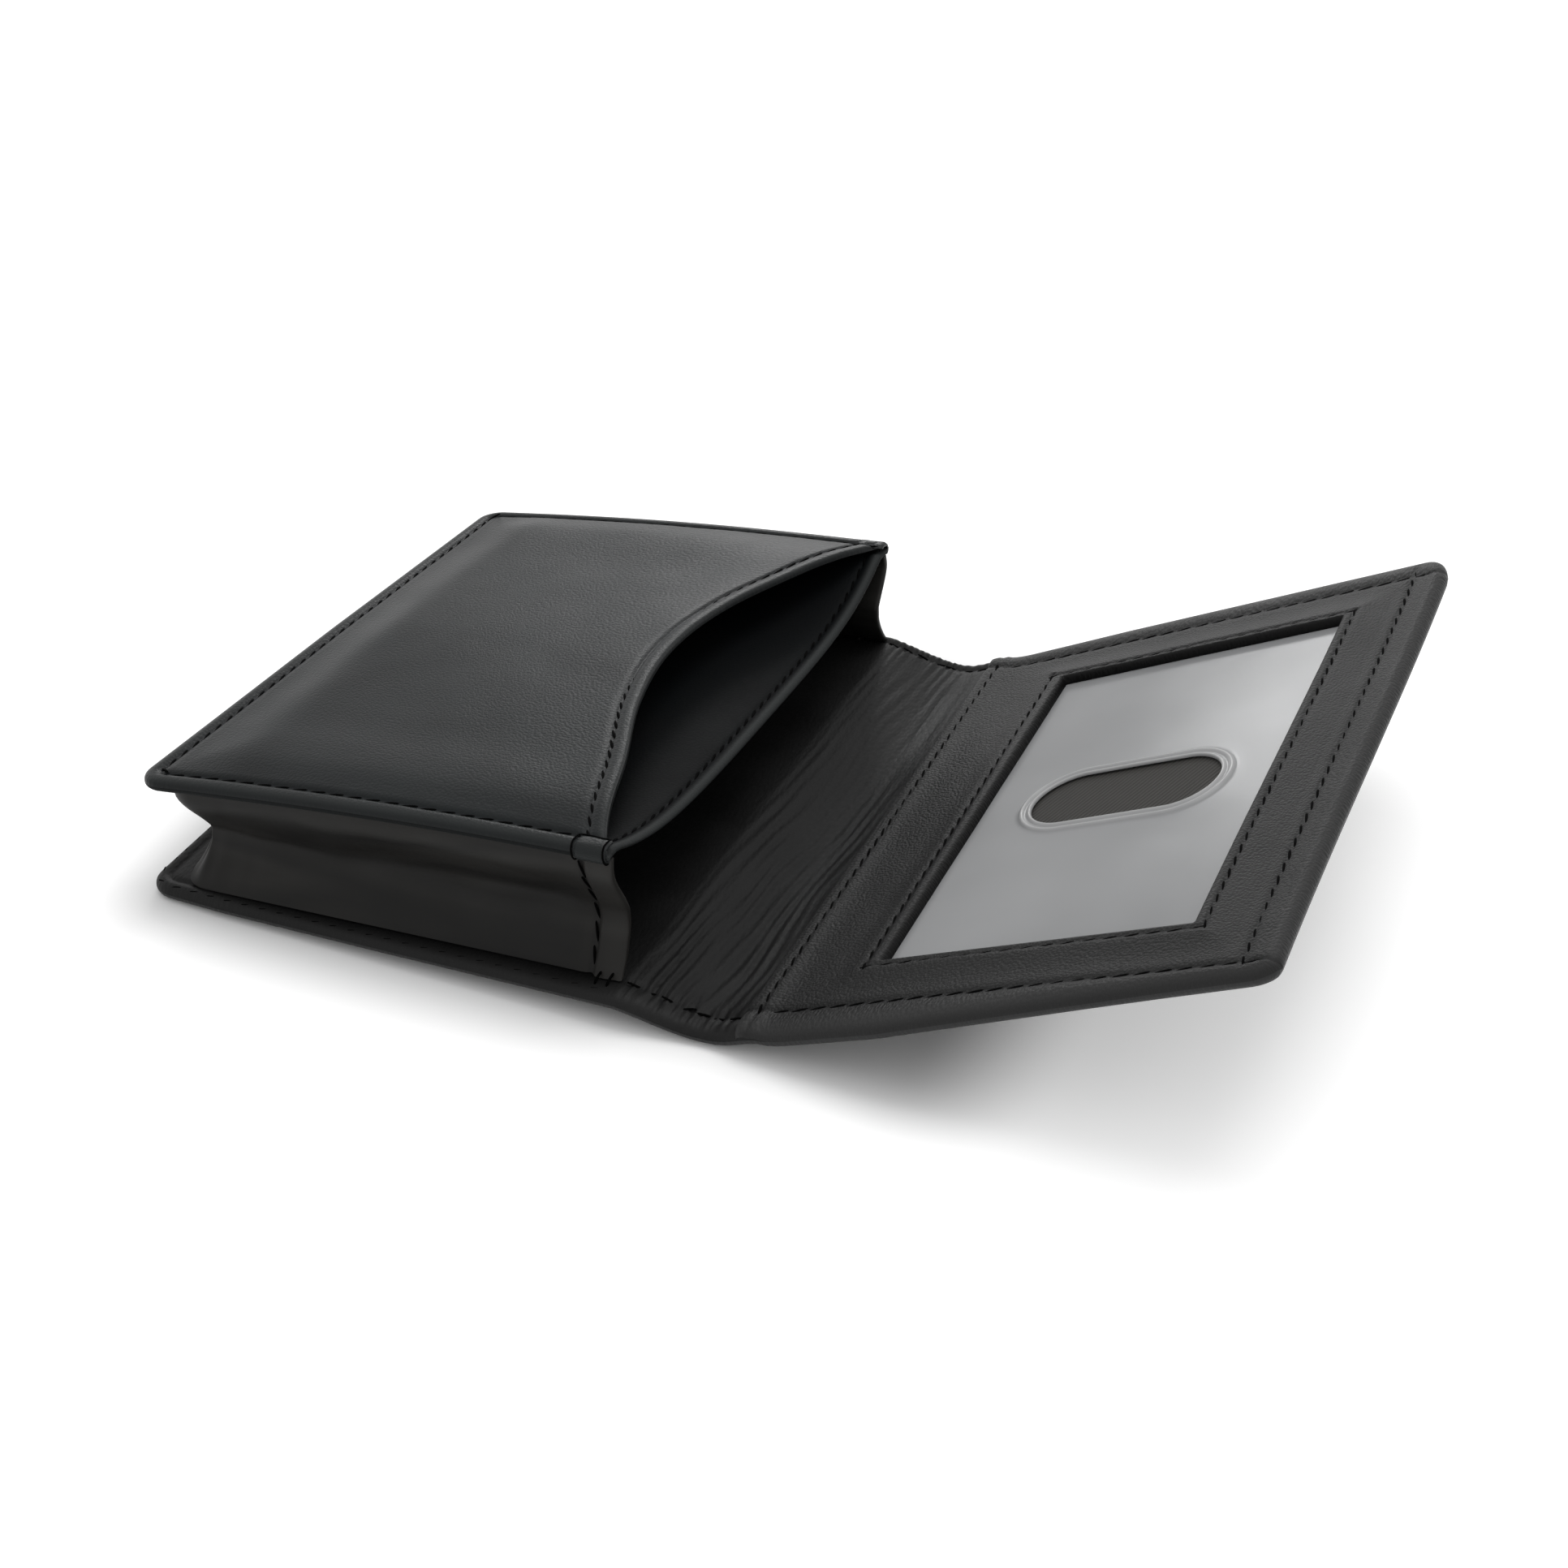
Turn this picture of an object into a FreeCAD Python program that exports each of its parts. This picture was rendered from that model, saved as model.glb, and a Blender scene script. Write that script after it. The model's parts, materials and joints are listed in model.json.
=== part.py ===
import FreeCAD, Part
import math
import os

import Sketcher
from FreeCAD import Placement, Rotation, Vector

# A folding card and ID case, lying open on its back: a gusseted card pocket, a soft spine and a flap
# with a clear window. Lengths are in millimetres. +X runs from the pocket's closed end to the flap's
# free edge, +Y runs along the spine, +Z is up.

SIZES = [
    ("panel_length", 76.0, "pocket panel and flap, from crease to free edge"),
    ("case_width", 108.0, "case along the spine"),
    ("corner_radius", 5.0, "outer corners of both panels"),
    ("pocket_tilt", 2.0, "degrees by which the pocket's mouth is raised"),
    ("flap_rise", 23.7, "degrees by which the flap stands up from the table"),
    ("depth_closed", 17.8, "pocket over both panels at its closed end"),
    ("depth_mouth", 22.0, "pocket over both panels at its mouth"),
    ("closing_gap", 1.3, "room over the pocket when the flap is closed"),
    ("crease_gap", 0.3, "from a crease to each piece beside it"),
    ("cover_leather", 1.0, "outer cover"),
    ("stiffener", 0.5, "board in the back panel and in the flap"),
    ("turned_edge", 4.5, "cover turned in round the boards"),
    ("back_leather", 0.8, "lining leather of the back panel"),
    ("front_leather", 1.0, "front panel of the pocket"),
    ("front_lining", 0.3, "lining of the front panel"),
    ("divider_leather", 0.8, "divider panel"),
    ("divider_lining", 0.3, "lining of the divider panel"),
    ("divider_sag", 5.5, "divider below the rim at the middle of its mouth"),
    ("sag_border", 4.0, "level border of the divider along the side edges"),
    ("mouth_depth", 16.5, "curve of the front panel's mouth"),
    ("mouth_land", 2.5, "straight part of the mouth at each corner"),
    ("gusset_leather", 0.8, "gusset strip"),
    ("gusset_corner", 4.5, "bend of the gusset at the closed corners"),
    ("side_inset", 1.5, "gusset from the side edges, at its seams"),
    ("end_inset", 3.5, "gusset from the closed edge, at its seams"),
    ("fold_depth", 4.0, "inward fold of the gusset"),
    ("seam_gap", 0.05, "between a soft piece and the piece that it is sewn to"),
    ("hem_width", 4.2, "hem at each end of the gusset"),
    ("hem_thickness", 0.5, "hem layer on the gusset"),
    ("tack_length", 3.0, "bar tack"),
    ("tack_width", 0.6, "bar tack"),
    ("tack_edge", 0.25, "bar tack from the side edge"),
    ("thread_width", 0.6, "sewing thread"),
    ("thread_height", 0.15, "sewing thread above the leather"),
    ("rim_seam", 2.7, "rim seam of the pocket from the edge"),
    ("mouth_seam", 2.5, "mouth seams from the edge"),
    ("flap_end_seam", 5.0, "flap seam from the free edge"),
    ("flap_side_seam", 3.0, "flap seam from the side edges"),
    ("thread_gap", 0.6, "between two seams that meet"),
    ("spine_leather", 1.4, "padded lining of the spine"),
    ("trough_offset", 13.4, "lowest line of the spine from the pocket's crease"),
    ("trough_entry", 9.0, "degrees by which the spine falls from the pocket's crease"),
    ("flap_lining", 0.3, "lining of the flap"),
    ("window_film", 0.3, "clear window sheet"),
    ("film_gap", 0.4, "round the window sheet, inside the turned edge"),
    ("id_leather", 0.9, "ID panel"),
    ("window_end_border", 14.5, "window opening from the crease and from the free edge"),
    ("window_side_border", 13.0, "window opening from the side edges"),
    ("window_corner", 1.5, "corners of the window opening"),
    ("window_seam", 2.5, "window seam from the opening"),
    ("slot_length", 30.0, "thumb slot across the flap"),
    ("slot_width", 14.0, "thumb slot along the spine"),
    ("bead_width", 2.0, "welded bead round the thumb slot"),
    ("bead_height", 0.4, "welded bead above the window sheet"),
]

document = FreeCAD.newDocument("card_case")
sheet = document.addObject("Spreadsheet::Sheet", "sizes")
for row, (alias, value, meaning) in enumerate(SIZES, start=1):
    sheet.set(f"A{row}", meaning)
    sheet.set(f"B{row}", str(value))
    sheet.setAlias(f"B{row}", alias)
document.recompute()


def size(alias):
    """Value of a named size."""
    return float(sheet.get(alias))


def number(expression):
    """Value of an expression on the named sizes."""
    return float(sheet.evalExpression(expression))


# ---------------------------------------------------------------------------------------------
# Stacks of layers and the frames of the four groups of pieces

BACK_STACK = "(sizes.cover_leather + sizes.stiffener + sizes.back_leather)"
RIM_STACK = "(sizes.divider_leather + sizes.front_lining + sizes.front_leather)"
FLAP_CORE = "(sizes.stiffener + sizes.flap_lining + sizes.window_film)"
FLAP_STACK = f"(sizes.cover_leather + {FLAP_CORE} + sizes.id_leather)"

back_stack = number(BACK_STACK)
rim_stack = number(RIM_STACK)
flap_stack = number(FLAP_STACK)
spine_stack = size("cover_leather") + size("seam_gap") + size("spine_leather")
spine_width = size("depth_mouth") - back_stack + size("closing_gap")
wedge = math.degrees(math.atan2(size("depth_mouth") - size("depth_closed"), size("panel_length")))


def raised(degrees):
    """Turn that lifts the far end of a panel that runs along +X."""
    return Rotation(Vector(0, -1, 0), degrees)


def place_groups(start):
    """Frames of pocket, rim, spine and flap for a closed end at the given X."""
    pocket = Placement(Vector(start, 0, 0), raised(size("pocket_tilt")))
    rim_height = size("depth_closed") - rim_stack
    rim = pocket * Placement(Vector(0, 0, rim_height), raised(wedge))
    crease = Vector(size("panel_length") + size("crease_gap"), 0, back_stack)
    spine = Placement(pocket.multVec(crease), Rotation())
    flap = spine * Placement(Vector(spine_width, 0, 0), raised(size("flap_rise")))
    return pocket, rim, spine, flap


# The origin lies under the middle of the whole case.
_, rim_frame, _, flap_frame = place_groups(0.0)
low_end = rim_frame.multVec(Vector(0, 0, rim_stack)).x
high_end = flap_frame.multVec(Vector(size("panel_length"), 0, -flap_stack)).x
pocket_frame, rim_frame, spine_frame, flap_frame = place_groups(-(low_end + high_end) / 2)


# ---------------------------------------------------------------------------------------------
# Bodies and sketches

def new_body(label, frame):
    """An empty body in the frame of its group."""
    body = document.addObject("PartDesign::Body", label)
    body.Label = label
    body.Placement = frame
    return body


def new_sketch(body, name, height):
    """A sketch parallel to the body's XY plane, at a height given as an expression."""
    sketch = body.newObject("Sketcher::SketchObject", name)
    planes = [item for item in body.Origin.OriginFeatures if item.Role == "XY_Plane"]
    sketch.AttachmentSupport = [(planes[0], "")]
    sketch.MapMode = "FlatFace"
    sketch.setExpression("AttachmentOffset.Base.z", height)
    return sketch


def bind(sketch, constraint, expression):
    """Add a constraint whose value is an expression on the sheet."""
    index = sketch.addConstraint(constraint)
    sketch.setExpression(f"Constraints[{index}]", expression)


def fix_point(sketch, geometry, point, across, along):
    """Tie one point of a curve to its place from the sketch's origin."""
    for kind, expression in (("DistanceX", across), ("DistanceY", along)):
        value = number(expression)
        bind(sketch, Sketcher.Constraint(kind, -1, 1, geometry, point, value), expression)


def polygon(sketch, corners):
    """A closed outline of straight lines; each corner is a pair of expressions."""
    places = [Vector(number(across), number(along), 0) for across, along in corners]
    first = sketch.GeometryCount
    count = len(corners)
    for index in range(count):
        segment = Part.LineSegment(places[index], places[(index + 1) % count])
        sketch.addGeometry(segment, False)
    for index, (across, along) in enumerate(corners):
        following = first + (index + 1) % count
        sketch.addConstraint(Sketcher.Constraint("Coincident", first + index, 2, following, 1))
        fix_point(sketch, first + index, 1, across, along)


def rectangle(sketch, low_x, high_x, low_y, high_y):
    """A rectangle between two pairs of expressions."""
    corners = [(low_x, low_y), (high_x, low_y), (high_x, high_y), (low_x, high_y)]
    polygon(sketch, corners)


def trough(sketch, far, near, half, width):
    """A strip of a width round three sides, open towards one end, at X = far."""
    inner = f"({half} - {width})"
    corners = [(far, f"-{half}"), (near, f"-{half}"), (near, half), (far, half)]
    corners += [(far, inner), (f"{near} + {width}", inner)]
    corners += [(f"{near} + {width}", f"-{inner}"), (far, f"-{inner}")]
    polygon(sketch, corners)


def slot(sketch, middle, length, width):
    """A slot with round ends, across the flap and centred on the X axis."""
    radius = number(f"{width} / 2")
    reach = f"({length} - {width}) / 2"
    centres = [f"{middle} - {reach}", f"{middle} + {reach}"]
    first = sketch.GeometryCount
    for index, centre in enumerate(centres):
        circle = Part.Circle(Vector(number(centre), 0, 0), Vector(0, 0, 1), radius)
        start = math.pi / 2 + index * math.pi
        sketch.addGeometry(Part.ArcOfCircle(circle, start, start + math.pi), False)
    for side in (1, -1):
        places = [Vector(number(centre), side * radius, 0) for centre in centres]
        sketch.addGeometry(Part.LineSegment(*places), False)
    left, right, upper, lower = range(first, first + 4)
    for line, left_end, right_end in ((upper, 1, 2), (lower, 2, 1)):
        sketch.addConstraint(Sketcher.Constraint("Tangent", left, left_end, line, 1))
        sketch.addConstraint(Sketcher.Constraint("Tangent", right, right_end, line, 2))
    for arc, centre in ((left, centres[0]), (right, centres[1])):
        fix_point(sketch, arc, 3, centre, "0")
    bind(sketch, Sketcher.Constraint("Radius", left, radius), f"{width} / 2")


def pad(body, name, sketch, height):
    """Raise a sketch by a height given as an expression."""
    feature = body.newObject("PartDesign::Pad", name)
    feature.Profile = sketch
    feature.setExpression("Length", height)
    document.recompute()
    return feature


def cut_down(body, name, sketch, depth):
    """Cut a sketch downwards out of the body, and make sure that something went."""
    before = body.Shape.Volume
    feature = body.newObject("PartDesign::Pocket", name)
    feature.Profile = sketch
    feature.setExpression("Length", depth)
    document.recompute()
    if body.Shape.Volume >= before:
        raise RuntimeError(f"{name} cuts nothing")
    return feature


def round_upright_edges(body, name, feature, wanted, radius):
    """Round the edges along Z whose X and Y the test accepts."""
    names = []
    for index, edge in enumerate(feature.Shape.Edges, start=1):
        ends = [vertex.Point for vertex in edge.Vertexes]
        upright = len(ends) == 2 and math.hypot(ends[0].x - ends[1].x, ends[0].y - ends[1].y) < 1e-6
        if upright and wanted(ends[0].x, ends[0].y):
            names.append(f"Edge{index}")
    if not names:
        raise RuntimeError(f"{name} has no edge to round")
    fillet = body.newObject("PartDesign::Fillet", name)
    fillet.Base = (feature, names)
    fillet.setExpression("Radius", radius)
    document.recompute()
    return fillet


def shape_object(label, shape, frame):
    """A piece whose surfaces are lofted or extruded from curves."""
    item = document.addObject("Part::Feature", label)
    item.Label = label
    item.Shape = shape
    item.Placement = frame
    return item


def near_value(place, target):
    """Whether two lengths are the same."""
    return abs(place - target) < 1e-6


# ---------------------------------------------------------------------------------------------
# Back panel of the pocket

HALF = "sizes.case_width / 2"
LENGTH = "sizes.panel_length"
CORE_HALF = f"({HALF} - sizes.turned_edge)"

cover = new_body("back_cover", pocket_frame)
outline = new_sketch(cover, "back_cover_outline", "0")
rectangle(outline, "0", LENGTH, f"-{HALF}", HALF)
plate = pad(cover, "back_cover_plate", outline, "sizes.cover_leather + sizes.stiffener")
plate = round_upright_edges(cover, "back_cover_corners", plate,
                            lambda x, y: near_value(x, 0), "sizes.corner_radius")
recess = new_sketch(cover, "back_cover_recess", "sizes.cover_leather + sizes.stiffener")
rectangle(recess, "sizes.turned_edge", LENGTH, f"-{CORE_HALF}", CORE_HALF)
cut_down(cover, "back_cover_seat", recess, "sizes.stiffener")

board = new_body("back_board", pocket_frame)
outline = new_sketch(board, "back_board_outline", "sizes.cover_leather")
rectangle(outline, "sizes.turned_edge", LENGTH, f"-{CORE_HALF}", CORE_HALF)
pad(board, "back_board_plate", outline, "sizes.stiffener")

lining = new_body("back_lining", pocket_frame)
outline = new_sketch(lining, "back_lining_outline", "sizes.cover_leather + sizes.stiffener")
rectangle(outline, "0", LENGTH, f"-{HALF}", HALF)
plate = pad(lining, "back_lining_plate", outline, "sizes.back_leather")
round_upright_edges(lining, "back_lining_corners", plate,
                    lambda x, y: near_value(x, 0), "sizes.corner_radius")


# ---------------------------------------------------------------------------------------------
# Gusset: one strip round three sides, folded inwards halfway up

def levels():
    """Frames of the gusset's lower seam, fold and upper seam, with the fold's depth at each."""
    top = size("depth_closed") - rim_stack - size("seam_gap")
    middle = (back_stack + top) / 2
    return [
        (Placement(Vector(0, 0, back_stack), Rotation()), 0.0),
        (Placement(Vector(0, 0, middle), raised(wedge / 2)), size("fold_depth")),
        (Placement(Vector(0, 0, top), raised(wedge)), 0.0),
    ]


def bend_points(near, half, radius):
    """Corners of a strip's face round three sides, with the middle of each bend."""
    far = size("panel_length")
    part = radius * (1 - math.sqrt(0.5))
    points = [(far, -half), (near + radius, -half), (near + part, -half + part), (near, -half + radius)]
    points += [(near, half - radius), (near + part, half - part), (near + radius, half), (far, half)]
    return [Vector(x, y, 0) for x, y in points]


def bend_edges(points):
    """Side, bend, closed end, bend and side through the points of one face."""
    side, first, second, third, fourth, fifth, sixth, last = points
    return [
        Part.LineSegment(side, first).toShape(),
        Part.Arc(first, second, third).toShape(),
        Part.LineSegment(third, fourth).toShape(),
        Part.Arc(fourth, fifth, sixth).toShape(),
        Part.LineSegment(sixth, last).toShape(),
    ]


def gusset_section(frame, fold):
    """Outline of the strip at one level."""
    leather = size("gusset_leather")
    near = size("end_inset") + fold
    half = size("case_width") / 2 - size("side_inset") - fold
    outer = bend_points(near, half, size("gusset_corner"))
    inner = bend_points(near + leather, half - leather, size("gusset_corner") - leather)
    edges = bend_edges(outer)
    edges.append(Part.LineSegment(outer[-1], inner[-1]).toShape())
    edges += bend_edges(inner[::-1])
    edges.append(Part.LineSegment(inner[0], outer[0]).toShape())
    return Part.Wire(edges).transformGeometry(frame.toMatrix())


def hem_section(frame, fold, side):
    """Outline of the hem at one level, on the outer side of the gusset."""
    inner = size("case_width") / 2 - size("side_inset") - fold + size("seam_gap")
    outer = inner + size("hem_thickness")
    low = size("panel_length") - size("hem_width")
    high = size("panel_length")
    corners = [Vector(low, side * inner, 0), Vector(high, side * inner, 0)]
    corners += [Vector(high, side * outer, 0), Vector(low, side * outer, 0)]
    wire = Part.makePolygon(corners + corners[:1])
    return wire.transformGeometry(frame.toMatrix())


gusset = Part.makeLoft([gusset_section(*level) for level in levels()], True, False)
shape_object("gusset", gusset, pocket_frame)

hems = [Part.makeLoft([hem_section(*level, side) for level in levels()], True, False)
        for side in (-1, 1)]
shape_object("gusset_hems", Part.makeCompound(hems), pocket_frame)


def bar_tacks(label, frame, height):
    """A short bar of thread at each mouth corner."""
    body = new_body(label, frame)
    body.AllowCompound = True
    sketch = new_sketch(body, f"{label}_outline", height)
    high = f"({LENGTH} - sizes.mouth_seam / 2)"
    outer = f"({HALF} - sizes.tack_edge)"
    inner = f"({outer} - sizes.tack_width)"
    rectangle(sketch, f"{high} - sizes.tack_length", high, inner, outer)
    rectangle(sketch, f"{high} - sizes.tack_length", high, f"-{outer}", f"-{inner}")
    pad(body, f"{label}_bars", sketch, "sizes.thread_height")


bar_tacks("lower_bar_tacks", pocket_frame, BACK_STACK)


# ---------------------------------------------------------------------------------------------
# Front of the pocket: divider, lining and front panel, sewn together at the rim

panel_length = size("panel_length")
half_width = size("case_width") / 2
sag_half = half_width - size("sag_border")
sag_start = size("end_inset") + size("gusset_leather") + size("gusset_corner")


def block(low, high, half):
    """A block between two places along X, far higher than the case."""
    height = size("depth_mouth") * 2
    return Part.makeBox(high - low, half * 2, height * 2, Vector(low, -half, -height))


def sagging_curve(across, height):
    """Curve along the spine that is level at its ends and hangs in the middle."""
    share_of_sag = max(0.0, across - sag_start) / (panel_length - sag_start)
    sag = size("divider_sag") * share_of_sag
    shares = [index / 4 for index in range(-4, 5)]
    points = [Vector(across, share * sag_half, height - sag * (1 - share ** 4)) for share in shares]
    curve = Part.BSplineCurve()
    curve.interpolate(points)
    return curve.toShape()


def sagging_section(across, height, thickness):
    """Outline of the hanging sheet where it crosses one X, with its level borders."""
    edges = []
    for level in (height, height + thickness):
        edges.append(sagging_curve(across, level))
        for side in (-1, 1):
            ends = [Vector(across, side * place, level) for place in (sag_half, half_width)]
            edges.append(Part.LineSegment(*ends).toShape())
    for side in (-1, 1):
        ends = [Vector(across, side * half_width, level) for level in (height, height + thickness)]
        edges.append(Part.LineSegment(*ends).toShape())
    return Part.Wire(Part.__sortEdges__(edges))


def sagging_sheet(places, height, thickness):
    """A sheet through sections at places along X that hangs more towards the mouth."""
    return Part.makeLoft([sagging_section(across, height, thickness) for across in places], True, True)


divider = sagging_sheet([0.0, sag_start, panel_length], 0.0, size("divider_leather"))
rounded = block(0.0, panel_length * 2, half_width)
corner_edges = [edge for edge in rounded.Edges
                if all(near_value(vertex.X, 0) for vertex in edge.Vertexes)
                and near_value(edge.Vertexes[0].Y, edge.Vertexes[1].Y)]
rounded = rounded.makeFillet(size("corner_radius"), corner_edges)
shape_object("divider_panel", divider.common(rounded), rim_frame)

lining_height = -size("seam_gap") - size("divider_lining")
lining_end = panel_length - size("mouth_seam") * 2
lining_half = half_width - size("side_inset") - size("gusset_leather") - size("fold_depth") / 2
cloth = sagging_sheet([sag_start, lining_end], lining_height, size("divider_lining"))
cloth = cloth.common(block(0.0, panel_length, lining_half))
shape_object("divider_lining", cloth, rim_frame)

thread_far = panel_length - size("mouth_seam")
thread_half = sag_half - size("thread_gap") * 2
run = sagging_sheet([thread_far - size("thread_width"), thread_far],
                    size("divider_leather") + size("seam_gap"), size("thread_height"))
shape_object("divider_mouth_thread", run.common(block(0.0, panel_length, thread_half)), rim_frame)

CURVE_HALF = f"({HALF} - sizes.mouth_land)"
CURVE_RADIUS = f"(({CURVE_HALF} ^ 2 + sizes.mouth_depth ^ 2) / (2 * sizes.mouth_depth))"
CURVE_CENTRE = f"({LENGTH} - sizes.mouth_depth + {CURVE_RADIUS})"


def arc_about(centre, radius, half):
    """Arc that bulges towards -X, from one side to the other."""
    reach = math.sqrt(radius ** 2 - half ** 2)
    places = [Vector(centre - reach, -half, 0), Vector(centre - radius, 0, 0),
              Vector(centre - reach, half, 0)]
    return Part.Arc(*places)


def curved_panel(label, height, thickness):
    """A panel of the pocket's outline with the concave mouth."""
    body = new_body(label, rim_frame)
    sketch = new_sketch(body, f"{label}_outline", height)
    corners = [(LENGTH, CURVE_HALF), (LENGTH, HALF), ("0", HALF), ("0", f"-{HALF}"),
               (LENGTH, f"-{HALF}"), (LENGTH, f"-{CURVE_HALF}")]
    places = [Vector(number(across), number(along), 0) for across, along in corners]
    for start, end in zip(places, places[1:]):
        sketch.addGeometry(Part.LineSegment(start, end), False)
    arc = sketch.addGeometry(arc_about(number(CURVE_CENTRE), number(CURVE_RADIUS), number(CURVE_HALF)),
                             False)
    for index in range(len(places) - 2):
        sketch.addConstraint(Sketcher.Constraint("Coincident", index, 2, index + 1, 1))
    for index, (across, along) in enumerate(corners[:-1]):
        fix_point(sketch, index, 1, across, along)
    last = len(places) - 2
    fix_point(sketch, last, 2, *corners[-1])
    arc_ends = (1, 2) if sketch.getPoint(arc, 1).y < 0 else (2, 1)
    sketch.addConstraint(Sketcher.Constraint("Coincident", arc, arc_ends[0], last, 2))
    sketch.addConstraint(Sketcher.Constraint("Coincident", arc, arc_ends[1], 0, 1))
    bind(sketch, Sketcher.Constraint("Radius", arc, number(CURVE_RADIUS)), CURVE_RADIUS)
    plate = pad(body, f"{label}_plate", sketch, thickness)
    round_upright_edges(body, f"{label}_corners", plate,
                        lambda x, y: near_value(x, 0), "sizes.corner_radius")


curved_panel("front_lining", "sizes.divider_leather", "sizes.front_lining")
curved_panel("front_panel", "sizes.divider_leather + sizes.front_lining", "sizes.front_leather")

seam = new_body("front_seam_thread", rim_frame)
outline = new_sketch(seam, "front_seam_path", RIM_STACK)
seam_end = f"({LENGTH} - sizes.mouth_seam)"
trough(outline, seam_end, "sizes.rim_seam", f"({HALF} - sizes.rim_seam)", "sizes.thread_width")
run = pad(seam, "front_seam_run", outline, "sizes.thread_height")
run = round_upright_edges(seam, "front_seam_inner_bends", run,
                          lambda x, y: near_value(x, size("rim_seam") + size("thread_width")),
                          "sizes.corner_radius - sizes.rim_seam - sizes.thread_width")
round_upright_edges(seam, "front_seam_outer_bends", run,
                    lambda x, y: near_value(x, size("rim_seam")),
                    "sizes.corner_radius - sizes.rim_seam")

seam = new_body("front_mouth_thread", rim_frame)
outline = new_sketch(seam, "front_mouth_path", RIM_STACK)
SEAM_HALF = f"({HALF} - sizes.rim_seam - sizes.thread_width - sizes.thread_gap)"
SEAM_RADII = [f"({CURVE_RADIUS} + sizes.mouth_seam)",
              f"({CURVE_RADIUS} + sizes.mouth_seam + sizes.thread_width)"]
arcs = []
for radius in SEAM_RADII:
    arc = outline.addGeometry(arc_about(number(CURVE_CENTRE), number(radius), number(SEAM_HALF)), False)
    fix_point(outline, arc, 3, CURVE_CENTRE, "0")
    bind(outline, Sketcher.Constraint("Radius", arc, number(radius)), radius)
    arcs.append(arc)
for point in (1, 2):
    ends = [outline.getPoint(arc, point) for arc in arcs]
    line = outline.addGeometry(Part.LineSegment(*ends), False)
    along = SEAM_HALF if ends[0].y > 0 else f"-{SEAM_HALF}"
    for line_end, arc in enumerate(arcs, start=1):
        outline.addConstraint(Sketcher.Constraint("Coincident", line, line_end, arc, point))
        bind(outline, Sketcher.Constraint("DistanceY", -1, 1, arc, point, number(along)), along)
pad(seam, "front_mouth_run", outline, "sizes.thread_height")

bar_tacks("upper_bar_tacks", rim_frame, RIM_STACK)


# ---------------------------------------------------------------------------------------------
# Spine: a soft strip that sags between the two creases until it lies on the table

def bezier(points):
    """One curve in the spine's section from its control points."""
    curve = Part.BezierCurve()
    curve.setPoles([Vector(x, 0, z) for x, z in points])
    return curve.toShape()


def spine_curve(height):
    """The spine's section at a height over its lining's face: down to the trough, then up."""
    sag = spine_frame.Base.z - spine_stack
    start = size("crease_gap")
    end = spine_width - size("crease_gap")
    low = size("trough_offset")
    fall = math.tan(math.radians(size("trough_entry")))
    rise = math.tan(math.radians(size("flap_rise")))
    first = (low - start) / 3
    second = (end - low) / 3
    poles = [(start, 0), (start + first, -first * fall), (low - first, -sag), (low, -sag)]
    down = bezier([(x, z + height) for x, z in poles])
    poles = [(low, -sag), (low + second, -sag), (end - second, -second * rise), (end, 0)]
    up = bezier([(x, z + height) for x, z in poles])
    return [down, up]


def spine_layer(low, high, half, middle=0.0):
    """A layer of the spine between two heights, along a stretch of the spine's length."""
    lower = Part.Wire(spine_curve(low))
    upper = Part.Wire(spine_curve(high))
    face_edges = lower.Edges + upper.Edges
    for place in (0, -1):
        ends = [wire.OrderedVertexes[place].Point for wire in (lower, upper)]
        face_edges.append(Part.LineSegment(*ends).toShape())
    face = Part.Face(Part.Wire(Part.__sortEdges__(face_edges)))
    face.translate(Vector(0, middle - half, 0))
    return face.extrude(Vector(0, 2 * half, 0))


cover_top = size("cover_leather") - spine_stack
shape_object("spine_cover", spine_layer(-spine_stack, cover_top, half_width), spine_frame)
shape_object("spine_lining", spine_layer(-size("spine_leather"), 0.0, half_width), spine_frame)
thread_place = half_width - size("flap_side_seam") - size("thread_width") / 2
thread_low = size("seam_gap")
runs = [spine_layer(thread_low, thread_low + size("thread_height"), size("thread_width") / 2,
                    side * thread_place) for side in (-1, 1)]
trim = block(2 * size("thread_gap"), spine_width - 2 * size("thread_gap"), half_width)
shape_object("spine_edge_threads", Part.makeCompound([run.common(trim) for run in runs]), spine_frame)


# ---------------------------------------------------------------------------------------------
# Flap: cover, board, lining, window sheet and ID panel, from its outer face up

START = "sizes.crease_gap"
COVER_LOW = f"-{FLAP_STACK}"
CORE_LOW = f"(sizes.cover_leather - {FLAP_STACK})"
LINING_LOW = f"({CORE_LOW} + sizes.stiffener)"
FILM_LOW = f"({LINING_LOW} + sizes.flap_lining)"
PANEL_LOW = "(-sizes.id_leather)"
CORE_END = f"({LENGTH} - sizes.turned_edge)"


def at_free_edge(x, y):
    return near_value(x, size("panel_length"))


cover = new_body("flap_cover", flap_frame)
outline = new_sketch(cover, "flap_cover_outline", COVER_LOW)
rectangle(outline, START, LENGTH, f"-{HALF}", HALF)
plate = pad(cover, "flap_cover_plate", outline, f"sizes.cover_leather + {FLAP_CORE}")
round_upright_edges(cover, "flap_cover_corners", plate, at_free_edge, "sizes.corner_radius")
recess = new_sketch(cover, "flap_cover_recess", PANEL_LOW)
rectangle(recess, START, CORE_END, f"-{CORE_HALF}", CORE_HALF)
cut_down(cover, "flap_cover_seat", recess, FLAP_CORE)

board = new_body("flap_board", flap_frame)
outline = new_sketch(board, "flap_board_outline", CORE_LOW)
rectangle(outline, START, CORE_END, f"-{CORE_HALF}", CORE_HALF)
pad(board, "flap_board_plate", outline, "sizes.stiffener")

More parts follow.
